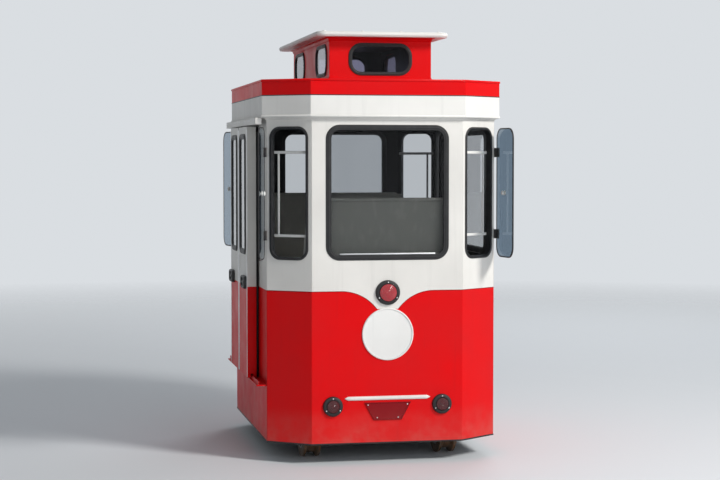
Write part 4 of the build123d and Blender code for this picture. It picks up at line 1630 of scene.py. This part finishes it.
@dataclass
class DoorTrim(Trim):
    """Window rubber, grip details and edge strips of the two sliding leaves, and the doorway's seals.

    Attributes:
        leaf_width: Width of a leaf.
        window_size: Width, height and corner radius of a leaf's window.
        window_middle: Height of the window's middle.
        grip_shift: From the leaf's middle to the grip's, towards the jamb.
        grip_height: Height of the grip's middle.
        grip_size: Width, height and corner radius of a grip.
        grip_dish: Inset and height of each loop of a grip, over its lip and down to its floor.
        bar_size: Width, height and corner radius of the finger bar.
        screw: Radius of the screws' heads.
        screw_shift: From the grip's middle to a screw.
        strip: Width, rise and edge rounding of a leaf's edge strip.
        strip_inset: From the leaf's edge to the middle of its strip.
        strip_foot: From the leaf's foot to the strip's.
        strip_top: From the top of the pane to the strip's.
        jamb: From the middle of the doorway to a jamb seal.
        seal_width: Width of the seals.
        seal_proud: Height of the seals above the wall, clear of the sliding leaves.
        seal_head: Height of the top of the doorway.
        seal_lap: From the top of the doorway to the seal over it.
    """

    leaf_width: float = 0.420
    window_size: tuple[float, float, float] = (0.300, 0.790, 0.055)
    window_middle: float = 1.705
    grip_shift: float = 0.100
    grip_height: float = 1.125
    grip_size: tuple[float, float, float] = (0.180, 0.084, 0.028)
    grip_dish: Section = (
        (0.0, 0.0), (0.0, 0.014), (0.002, 0.019), (0.006, 0.0215), (0.010, 0.0215), (0.013, 0.019),
        (0.017, 0.011),
    )
    bar_size: tuple[float, float, float] = (0.084, 0.018, 0.008)
    screw: float = 0.0045
    screw_shift: float = 0.058
    strip: tuple[float, float, float] = (0.010, 0.0025, 0.0012)
    strip_inset: float = 0.006
    strip_foot: float = 0.004
    strip_top: float = 0.060
    jamb: float = 0.376
    seal_width: float = 0.012
    seal_proud: float = 0.0145
    seal_head: float = 2.092
    seal_lap: float = 0.004

    def build(self) -> None:
        """Dress both leaves and the doorway."""
        for name, end, body in (("front", -1, Body.DOOR_FRONT), ("rear", 1, Body.DOOR_REAR)):
            low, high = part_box(f"door_frame_{name}")
            face = on_face((low.x, (low.y + high.y) / 2, 0.0), LEFT)
            window = Window(moved(face, 0.0, self.window_middle), *self.window_size)
            WindowTrim(self.shop).build(f"door_window_lips_{name}", (window,), body)
            self.grip(name, moved(face, -end * self.grip_shift, self.grip_height), body)
            self.edges(name, face, body)
        self.doorway()

    def doorway(self) -> None:
        """Add the rubber seals round the doorway that close the gap behind the leaves."""
        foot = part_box("door_panel_front")[0].z
        head = self.seal_head + self.seal_lap
        top = head + self.seal_width
        wall = self.shop.plan.side(-1, 0.0, 0.0)
        seals = Shape()
        for edge in SIDES:
            outer = (edge * (self.jamb + self.seal_width), top, self.seal_proud)
            seals.block(wall, (edge * self.jamb, foot, -SINK), outer, edge=0.003)
        reach = self.jamb + SINK
        seals.block(wall, (-reach, head, -SINK), (reach, top, self.seal_proud), edge=0.003)
        self.shop.piece("doorway_seals", seals, Slot.RUBBER)

    def grip(self, name: str, centre: Matrix, body: Body) -> None:
        """Add a dished grip with a finger bar across it, and its screws.

        Args:
            name: Name of the leaf.
            centre: Frame of the leaf's outer face, in the middle of the grip.
            body: Body of the leaf.
        """
        bar_crown = ((0.0, -0.001), (0.0, 0.006), (0.002, 0.008), (0.005, 0.009))
        floor = self.grip_dish[-1][1]
        cup = Shape()
        cup.mound(centre, self.grip_size, self.grip_dish)
        cup.mound(moved(centre, 0.0, 0.0, floor), self.bar_size, bar_crown)
        self.shop.piece(f"grip_cup_{name}", cup, Slot.RUBBER, body, (f"door_grip_{name}",))
        screws = Shape()
        for shift in (-self.screw_shift, self.screw_shift):
            screws.screw(moved(centre, shift, 0.0, floor), self.screw)
        self.shop.piece(f"grip_screws_{name}", screws, Slot.BRIGHT, body)

    def edges(self, name: str, face: Matrix, body: Body) -> None:
        """Add the aluminium strips down both edges of a leaf's face.

        Args:
            name: Name of the leaf.
            face: Frame of the leaf's outer face, at the cabin's foot.
            body: Body of the leaf.
        """
        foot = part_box(f"door_panel_{name}")[0].z + self.strip_foot
        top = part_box(f"door_glass_{name}")[1].z + self.strip_top
        width, rise, rounding = self.strip
        strips = Shape()
        for edge in SIDES:
            x = edge * (self.leaf_width / 2 - self.strip_inset)
            strips.block(face, (x - width / 2, foot, -SINK), (x + width / 2, top, rise), rounding)
        self.shop.piece(f"leaf_strips_{name}", strips, Slot.BRIGHT, body)


@dataclass
class RailTrim(Trim):
    """Bolts, end stops and tread ribs of the doors' rails and threshold.

    Attributes:
        pitch: Distance between two bolts.
        each_way: Bolts on each side of the middle one.
        screw: Radius of the screws in the top rail.
        screw_lift: From the middle of the top rail's face up to those screws.
        bolt: Radius of the bolts under the bottom guide.
        bolt_inset: From the guide's inner face to those bolts.
        stop: Depth, thickness and edge rounding of an end stop.
        ribs: Ribs on the threshold.
        rib: Width, height and edge rounding of a rib.
        rib_inset: From the threshold's end to the ribs'.
    """

    pitch: float = 0.240
    each_way: int = 3
    screw: float = 0.006
    screw_lift: float = 0.006
    bolt: float = 0.007
    bolt_inset: float = 0.012
    stop: tuple[float, float, float] = (0.042, 0.005, 0.0015)
    ribs: int = 7
    rib: tuple[float, float, float] = (0.005, 0.0018, 0.0008)
    rib_inset: float = 0.012

    def build(self) -> None:
        """Dress the rails and the threshold."""
        bolts, stops, ribs = (Shape() for _ in range(3))
        places = [step * self.pitch for step in range(-self.each_way, self.each_way + 1)]
        low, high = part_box("door_rail_top")
        for y in places:
            spot = (low.x, y, (low.z + high.z) / 2 + self.screw_lift)
            bolts.screw(on_face(spot, LEFT), self.screw)
        depth, thick, edge = self.stop
        for end in ENDS:
            inner = (low.x, end * high.y, low.z)
            stops.block(LEVEL, inner, (low.x + depth, end * (high.y + thick), high.z), edge)
        low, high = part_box("door_rail_bottom")
        for y in places:
            bolts.bolt(on_face((high.x - self.bolt_inset, y, low.z), DOWN), self.bolt)
        low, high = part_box("door_tread")
        width, height, edge = self.rib
        for step in range(self.ribs):
            x = low.x + (high.x - low.x) * (step + 0.5) / self.ribs
            foot = (x - width / 2, low.y + self.rib_inset, high.z - SKIM)
            top = (x + width / 2, high.y - self.rib_inset, high.z + height)
            ribs.block(LEVEL, foot, top, edge)
        self.shop.piece("rail_bolts", bolts, Slot.BRIGHT)
        self.shop.piece("rail_end_stops", stops, Slot.CREAM)
        self.shop.piece("tread_ribs", ribs, Slot.BRIGHT)


@dataclass
class SeatTrim(Trim):
    """Rolled back edges, seat fronts and the line between the two places of each bench.

    Attributes:
        seat_height: Height of the seat.
        roll: Radius of the rolled edges.
        back_roll: Half-length of the back's roll, and how far in and down from its edge it lies.
        nose_roll: The same of the roll along the seat's front edge.
        line: Width, rise and edge rounding of the line between the places.
        line_sink: How far the line reaches into the seat.
        line_start: From the bench's front face to the line.
        line_end: From the middle of the cabin to the line's far end.
    """

    seat_height: float = 0.960
    roll: float = 0.015
    back_roll: tuple[float, float, float] = (0.470, 0.011, 0.004)
    nose_roll: tuple[float, float, float] = (0.700, 0.012, 0.008)
    line: tuple[float, float, float] = (0.012, 0.006, 0.003)
    line_sink: float = 0.002
    line_start: float = 0.019
    line_end: float = 0.850

    def build(self) -> None:
        """Dress both benches."""
        width, rise, edge = self.line
        back_half, back_inset, back_drop = self.back_roll
        nose_half, nose_inset, nose_drop = self.nose_roll
        for name, end in (("front", -1), ("rear", 1)):
            low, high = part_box(f"bench_{name}")
            front, back = sorted((abs(low.y), abs(high.y)))
            shape = Shape()
            self.roll_edge(shape, end * (back - back_inset), high.z - back_drop, back_half)
            self.roll_edge(shape, end * (front + nose_inset), self.seat_height - nose_drop, nose_half)
            start = (-width / 2, end * (front + self.line_start), self.seat_height - self.line_sink)
            stop = (width / 2, end * self.line_end, self.seat_height + rise)
            shape.block(LEVEL, start, stop, edge)
            self.shop.piece(f"bench_edges_{name}", shape, Slot.SEAT)

    def roll_edge(self, shape: Shape, y: float, z: float, half: float) -> None:
        """Add a rolled edge across the cabin.

        Args:
            shape: The mesh that takes it.
            y: Place along the cabin.
            z: Height of its middle.
            half: Half of its length.
        """
        tip = self.roll * 0.6
        turn = 0.010
        first_half = ((0.0, 0.0), (tip, turn / 5), (self.roll, turn))
        second_half = [(radius, 2.0 * half - height) for radius, height in reversed(first_half)]
        place = on_face((-half, y, z), (1.0, 0.0, 0.0))
        shape.lathe(place, [*first_half, *second_half], steps=20)


@dataclass
class RunningTrim(Trim):
    """Bolts, rings, covers, welds and bushes of the wheels, axle boxes and underframe.

    Attributes:
        axle_y: Distance of each axle from the middle.
        axle_z: Height of the axles.
        gauge: Distance between the middles of the wheels.
        hub: Half-width and radius of a hub.
        web: Half-width and radius where the web meets the rim.
        seat: Half-width and radius of the tyre's seat.
        wheel_bolts: Bolts on each face of a wheel.
        wheel_bolt: Radius of those bolts.
        cover_bolts: Bolts in a cover.
        cover_bolt: Radius of those bolts.
        cover_circle: Radius of the circle that they stand on, and its height.
        cross_members: Distance from the middle to each cross-member.
        cross_half: Half of a cross-member's width.
        beam: Width of the underframe's long beams.
        weld_foot: From the frame's underside to the welds' foot.
        pad: Place of a jacking pad, across the cabin and along it.
        pad_screw: From the pad's middle to its screws, each way, and their radius.
        box_bolt: From the axle to a box's bolts, and their radius.
        box_bolt_drop: From the frame's top down to those bolts.
        tow_eye: From the frame's end to the middle of a tow eye's bore.
    """

    axle_y: float = 0.600
    axle_z: float = 0.185
    gauge: float = 0.900
    hub: tuple[float, float] = (0.052, 0.050)
    web: tuple[float, float] = (0.018, 0.112)
    seat: tuple[float, float] = (0.055, 0.126)
    wheel_bolts: int = 8
    wheel_bolt: float = 0.009
    cover_bolts: int = 4
    cover_bolt: float = 0.006
    cover_circle: tuple[float, float] = (0.039, 0.011)
    cross_members: tuple[float, float] = (0.300, 0.798)
    cross_half: float = 0.030
    beam: float = 0.080
    weld_foot: float = 0.006
    pad: tuple[float, float] = (0.560, 0.150)
    pad_screw: tuple[float, float] = (0.034, 0.007)
    box_bolt: tuple[float, float] = (0.100, 0.010)
    box_bolt_drop: float = 0.066
    tow_eye: float = 0.045

    def build(self) -> None:
        """Dress the wheelsets, the axle boxes and the underframe."""
        for name, end, body in (("front", -1, Body.WHEELS_FRONT), ("rear", 1, Body.WHEELS_REAR)):
            self.wheels(name, end, body)
        self.boxes()
        self.frame_fixings()

    def retaining_ring(self) -> Section:
        """Give the closed outline of the ring that holds a tyre on its seat.

        Returns:
            Radius and distance from the wheel's middle of each point.
        """
        wide, seat = self.seat
        inner, outer, face = seat - 0.006, seat + 0.005, wide + 0.0025
        return ((inner, wide - SINK), (inner, face), (outer, face), (outer, wide - SINK))

    def wheels(self, name: str, end: int, body: Body) -> None:
        """Add the bolt rings and retaining rings of one wheelset.

        Args:
            name: Name of the wheelset.
            end: -1 for front and 1 for rear.
            body: Body of the wheelset.
        """
        bolts, rings = Shape(), Shape()
        reach = (self.hub[1] + self.web[1]) / 2
        height = (self.hub[0] + self.web[0]) / 2
        tilt = math.atan2(self.hub[0] - self.web[0], self.web[1] - self.hub[1])
        lean = Matrix.Rotation(tilt, 4, "Y")
        for side in SIDES:
            for face in SIDES:
                centre = (side * self.gauge / 2, end * self.axle_y, self.axle_z)
                place = on_face(centre, (face, 0.0, 0.0))
                for turn in range(self.wheel_bolts):
                    spin = Matrix.Rotation(2.0 * math.pi * turn / self.wheel_bolts, 4, "Z")
                    bolts.bolt(moved(place @ spin, reach, 0.0, height) @ lean, self.wheel_bolt)
                rings.lathe(place, self.retaining_ring(), steps=64, closed=True)
        self.shop.piece(f"wheel_bolts_{name}", bolts, Slot.STEEL, body)
        self.shop.piece(f"retaining_rings_{name}", rings, Slot.STEEL, body)

    def boxes(self) -> None:
        """Add the bolted covers of the axle boxes."""
        cover = (
            (0.052, 0.0), (0.052, 0.008), (0.047, 0.011), (0.030, 0.011), (0.026, 0.020), (0.018, 0.024),
            (0.0, 0.025),
        )
        covers, bolts = Shape(), Shape()
        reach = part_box("axle_boxes")[1].x
        for side, end in CORNERS:
            place = on_face((side * reach, end * self.axle_y, self.axle_z), (side, 0.0, 0.0))
            covers.lathe(place, cover, steps=40)
            for spot in on_circle(place, *self.cover_circle, self.cover_bolts, 180.0 / self.cover_bolts):
                bolts.bolt(spot, self.cover_bolt)
        self.shop.piece("axle_box_covers", covers, Slot.CHASSIS)
        self.shop.piece("axle_box_bolts", bolts, Slot.BRIGHT)

    def frame_fixings(self) -> None:
        """Add the welds, pad screws, box bolts and tow eye bushes of the underframe."""
        weld = ((0.0, 0.0), (0.007, 0.003), (0.007, 0.085), (0.0, 0.088))
        bush = ((0.0155, -0.001), (0.0155, 0.004), (0.0235, 0.004), (0.0245, 0.002), (0.0245, -0.001))
        low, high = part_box("underframe")
        welds, bushes, bolts = (Shape() for _ in range(3))
        members = sorted(end * distance for end in ENDS for distance in self.cross_members)
        for side in SIDES:
            for middle in members:
                for shift in (-self.cross_half, self.cross_half):
                    start = (side * (high.x - self.beam), middle + shift, low.z + self.weld_foot)
                    welds.lathe(on_face(start, UP), weld, steps=10)
        pad_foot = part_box("jack_pads")[0].z
        pad_x, pad_y = self.pad
        pad_shift, pad_radius = self.pad_screw
        box_shift, box_radius = self.box_bolt
        for side, end in CORNERS:
            for shift in (-pad_shift, pad_shift):
                spot = (side * pad_x + shift, end * pad_y + shift, pad_foot)
                bolts.screw(on_face(spot, DOWN), pad_radius)
            for shift in (-box_shift, box_shift):
                spot = (side * high.x, end * self.axle_y + shift, high.z - self.box_bolt_drop)
                bolts.bolt(on_face(spot, (side, 0.0, 0.0)), box_radius)
        eye_low, eye_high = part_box("tow_eyes")
        for end in ENDS:
            centre = (0.0, end * (eye_high.y - self.tow_eye), eye_low.z)
            bushes.lathe(on_face(centre, DOWN), bush, steps=40, closed=True)
        self.shop.piece("frame_welds", welds, Slot.CHASSIS)
        self.shop.piece("frame_bolts", bolts, Slot.BRIGHT)
        self.shop.piece("tow_eye_bushes", bushes, Slot.STEEL)


@dataclass
class DriveTrim(Trim):
    """Fins, end covers' bolts and terminal box of the motor, and the contact shoe's insert.

    Attributes:
        fins: Fins on each side of the motor.
        fin: Reach, thickness and edge rounding of a fin.
        fin_inset: From the motor's ends to the fins'.
        fin_foot: From the motor's foot to the lowest fin.
        fin_span: What the fins' spread falls short of the motor's height.
        box_half: Half of the terminal box's width.
        box_reach: How far the terminal box stands out of the motor's rear.
        box_heights: From the motor's foot to the foot and the top of that box.
        bolt: Radius of the end covers' bolts.
        bolt_x: From the motor's middle to those bolts.
        bolt_inset: From the motor's foot or top to those bolts.
        insert_half: Half of the insert's width, and of its height.
        insert_over: How far the insert stands over the shoe's ends.
    """

    fins: int = 9
    fin: tuple[float, float, float] = (0.016, 0.005, 0.001)
    fin_inset: float = 0.030
    fin_foot: float = 0.020
    fin_span: float = 0.070
    box_half: float = 0.070
    box_reach: float = 0.035
    box_heights: tuple[float, float] = (0.080, 0.170)
    bolt: float = 0.010
    bolt_x: float = 0.115
    bolt_inset: float = 0.035
    insert_half: tuple[float, float] = (0.018, 0.004)
    insert_over: float = 0.010

    def build(self) -> None:
        """Dress the motor and the contact shoe."""
        low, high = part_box("motor")
        reach, thick, edge = self.fin
        fins = Shape()
        for step in range(self.fins):
            z = low.z + self.fin_foot + (high.z - low.z - self.fin_span) * step / (self.fins - 1)
            for side in SIDES:
                root = (side * (high.x - SINK), low.y + self.fin_inset, z)
                tip = (side * (high.x + reach), high.y - self.fin_inset, z + thick)
                fins.block(LEVEL, root, tip, edge)
        box_foot, box_top = (low.z + height for height in self.box_heights)
        back = (self.box_half, high.y + self.box_reach, box_top)
        fins.block(LEVEL, (-self.box_half, high.y - SINK, box_foot), back, edge=0.006)
        self.shop.piece("motor_fins", fins, Slot.MOTOR)
        bolts = Shape()
        for end, y in ((-1, low.y), (1, high.y)):
            for x in (-self.bolt_x, self.bolt_x):
                for z in (low.z + self.bolt_inset, high.z - self.bolt_inset):
                    bolts.bolt(on_face((x, y, z), (0.0, end, 0.0)), self.bolt)
        self.shop.piece("motor_bolts", bolts, Slot.BRIGHT)
        self.insert()

    def insert(self) -> None:
        """Add the worn insert in the foot of the contact shoe."""
        low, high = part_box("collector")
        half, rise = self.insert_half
        start = (-half, low.y - self.insert_over, low.z - rise)
        shape = Shape()
        shape.block(LEVEL, start, (half, high.y + self.insert_over, low.z + rise), edge=0.003)
        self.shop.piece("contact_insert", shape, Slot.CHASSIS)


@dataclass(frozen=True)
class SoftLamp:
    """A square lamp that glass doesn't show.

    Attributes:
        name: Name of the lamp.
        place: Where it stands.
        size: Length of its sides.
        power: Power in watts.
        colour: Colour of its light.
        mirrored: Whether gloss shows its image.
    """

    name: str
    place: tuple[float, float, float]
    size: float
    power: float
    colour: Colour
    mirrored: bool = True

    def hang(self, target: Sequence[float]) -> None:
        """Add the lamp to the scene.

        Args:
            target: Point that it looks at.
        """
        data = bpy.data.lights.new(self.name, "AREA")
        data.size = self.size
        data.energy = self.power
        data.color = self.colour
        item = put_in_scene(self.name, data)
        item.visible_glossy = self.mirrored
        item.visible_transmission = False
        look_at(item, self.place, target)


@dataclass
class Studio:
    """Pale floor, plain soft light and the camera of the reference view.

    Attributes:
        camera: Place of the camera.
        target: Point that it looks at.
        lens: Focal length in millimetres.
        pale: Colour of the floor and the background.
        lamps: The lamps.
        lit: Point that the lamps look at.
        floor_fade: Distances from the middle where the floor starts to fade and is gone.
        sky: Strength of the sky's light.
        backdrop: Strength of the sky as the pale background.
    """

    camera: tuple[float, float, float] = (-2.285, -11.63, 1.93)
    target: tuple[float, float, float] = (-0.01, -0.10, 1.385)
    lens: float = 86.0
    pale: Colour = (0.70, 0.73, 0.76)
    lamps: tuple[SoftLamp, ...] = (
        SoftLamp("key", (7.0, -8.0, 8.5), 2.6, 1250.0, (1.0, 0.975, 0.94)),
        SoftLamp("fill", (3.0, -13.0, 4.0), 5.0, 380.0, (0.93, 0.96, 1.0), mirrored=False),
        SoftLamp("back", (5.0, 9.0, 7.0), 5.0, 300.0, (0.95, 0.97, 1.0)),
    )
    lit: tuple[float, float, float] = (0.0, 0.0, 1.3)
    floor_fade: tuple[float, float] = (4.0, 16.0)
    sky: float = 0.32
    backdrop: float = 1.0

    def build(self) -> None:
        """Set the floor, the lamps, the world and the camera."""
        self.floor()
        for lamp in self.lamps:
            lamp.hang(self.lit)
        self.world()
        self.take_camera()
        bpy.context.scene.view_settings.view_transform = "Standard"

    def floor(self) -> None:
        """Add a round pale floor that fades into the background."""
        shape = Shape()
        rings = [(radius, 0.0) for radius in (60.0, 12.0, 0.0)]
        shape.lathe(LEVEL, rings, steps=64)
        mesh = shape.finish("floor")
        graph = NodeGraph("studio_floor")
        distance = graph.add("ShaderNodeVectorMath", graph.place)
        distance.operation = "LENGTH"
        far = graph.fade(distance.outputs["Value"], *self.floor_fade)
        graph.set(Base_Color=(*self.pale, 1.0), Roughness=0.75)
        clear = graph.add("ShaderNodeBsdfTransparent")
        blend = graph.add("ShaderNodeMixShader", far, graph.shader.outputs[0], clear.outputs[0])
        target = graph.tree.nodes["Material Output"].inputs["Surface"]
        graph.feed(target, blend.outputs[0])
        mesh.materials.append(graph.material)
        item = put_in_scene("studio_floor", mesh)

    def world(self) -> None:
        """Set a soft sky light, which the camera, gloss and glass see as the pale background."""
        world = bpy.data.worlds.new("studio")
        bpy.context.scene.world = world
        world.use_nodes = True
        tree = world.node_tree
        rays = tree.nodes.new("ShaderNodeLightPath")
        seen = rays.outputs["Is Camera Ray"]
        for ray in ("Is Glossy Ray", "Is Transmission Ray"):
            either = tree.nodes.new("ShaderNodeMath")
            either.operation = "MAXIMUM"
            tree.links.new(seen, either.inputs[0])
            tree.links.new(rays.outputs[ray], either.inputs[1])
            seen = either.outputs[0]
        strength = tree.nodes.new("ShaderNodeMapRange")
        strength.inputs["To Min"].default_value = self.sky
        strength.inputs["To Max"].default_value = self.backdrop
        tree.links.new(seen, strength.inputs["Value"])
        background = tree.nodes["Background"]
        background.inputs["Color"].default_value = (*self.pale, 1.0)
        tree.links.new(strength.outputs[0], background.inputs["Strength"])

    def take_camera(self) -> None:
        """Add the camera at the reference view."""
        data = bpy.data.cameras.new("camera")
        data.lens = self.lens
        item = put_in_scene("camera", data)
        look_at(item, self.camera, self.target)
        bpy.context.scene.camera = item


def make_finishes() -> dict[Slot, bpy.types.Material]:
    """Make the material of every slot.

    Returns:
        Material of each slot.
    """
    recipes = {
        Slot.RED: GlossPaint("red_gloss", (0.71, 0.001, 0.003)),
        Slot.CREAM: GlossPaint("cream_gloss", (0.76, 0.745, 0.71)),
        Slot.ROOF: GlossPaint("white_gloss", (0.80, 0.79, 0.76), inside_shaded=False),
        Slot.PLATE: GlossPaint("dark_red_paint", (0.24, 0.004, 0.008), grime=0.2, inside_shaded=False),
        Slot.DISC: GlossPaint("white_disc", (0.82, 0.82, 0.80), grime=0.2, inside_shaded=False),
        Slot.KNOB: SeatShell("white_plastic", (0.78, 0.78, 0.75)),
        Slot.RUBBER: Rubber("black_rubber", (0.010, 0.010, 0.011)),
        Slot.GLASS: Glazing("clear_acrylic", (0.63, 0.645, 0.66)),
        Slot.SMOKE: Glazing("smoke_acrylic", (0.22, 0.29, 0.36)),
        Slot.DARK_GLASS: Glazing("dark_acrylic", (0.46, 0.45, 0.54)),
        Slot.LENS: LampLens("red_lens", (0.50, 0.020, 0.032), shine=0.6),
        Slot.DARK_LENS: LampLens("dark_red_lens", (0.090, 0.003, 0.006), shine=0.2),
        Slot.BRIGHT: Metal("anodised_aluminium", (0.82, 0.83, 0.84), 0.36, Grain.BRUSHED),
        Slot.CHASSIS: Enamel("black_chassis_paint", (0.018, 0.018, 0.020)),
        Slot.MOTOR: Enamel("grey_enamel", (0.11, 0.125, 0.135)),
        Slot.STEEL: TurnedSteel("turned_steel", (0.42, 0.41, 0.40), RunningTrim.axle_y, RunningTrim.axle_z),
        Slot.TYRE: Urethane("amber_urethane", (0.13, 0.062, 0.022)),
        Slot.SEAT: SeatShell("grey_shell", (0.36, 0.353, 0.315)),
        Slot.FLOOR: FloorCovering("ribbed_floor", (0.050, 0.052, 0.055)),
    }
    return {slot: recipe.material() for slot, recipe in recipes.items()}


def body_windows(plan: Plan) -> list[Window]:
    """Give the fixed windows of the body: both ends and the right side.

    Args:
        plan: The body's plan.

    Returns:
        The windows.
    """
    ends = [
        Window(plan.end(end, x=0.0, height=1.725), width=0.790, height=0.850, radius=0.085)
        for end in ENDS
    ]
    right = plan.side(1, y=0.0, height=1.720)
    return [*ends, Window(right, width=1.240, height=0.820, radius=0.085)]


def clerestory_windows() -> list[Window]:
    """Give the windows of the clerestory: one in each end and two in each side.

    Returns:
        The windows.
    """
    low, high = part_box("clerestory_walls")
    level = (low.z + high.z) / 2
    side_shift = 0.440
    ends = [on_face((0.0, end * high.y, level), (0.0, end, 0.0)) for end in ENDS]
    sides = [on_face((side * high.x, end * side_shift, level), (side, 0.0, 0.0)) for side, end in CORNERS]
    return [Window(place, width=0.415, height=0.206, radius=0.084) for place in ends + sides]


def main() -> None:
    """Dress the cabin, sub-assembly by sub-assembly, and set the studio."""
    logging.basicConfig(level=logging.INFO, format="%(message)s")
    plan = Plan(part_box("side_panel_right")[1].x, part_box("end_panel_rear")[1].y)
    shop = Workshop(plan, make_finishes())
    shop.dress_nodes()
    WindowTrim(shop).build("window_lips", body_windows(plan))
    WindowTrim(shop).sills("window_sills", body_windows(plan))
    WindowTrim(shop, face=0.020, lip=0.002, strip=0.004).build("clerestory_lips", clerestory_windows())
    band_low, band_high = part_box("cornice_band")
    red_low, red_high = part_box("side_panel_right")
    for trim in (
        CornerTrim(shop),
        RoofTrim(shop, band_low.z, band_high.z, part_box("roof_deck")[1].z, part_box("clerestory_cap")[0].z),
        LampTrim(shop),
        EndTrim(shop),
        SkirtTrim(shop, red_low.z, red_high.z),
        DoorTrim(shop),
        RailTrim(shop),
        SeatTrim(shop),
        RunningTrim(shop),
        DriveTrim(shop),
    ):
        trim.build()
    Studio().build()


if __name__ == "__main__":
    main()
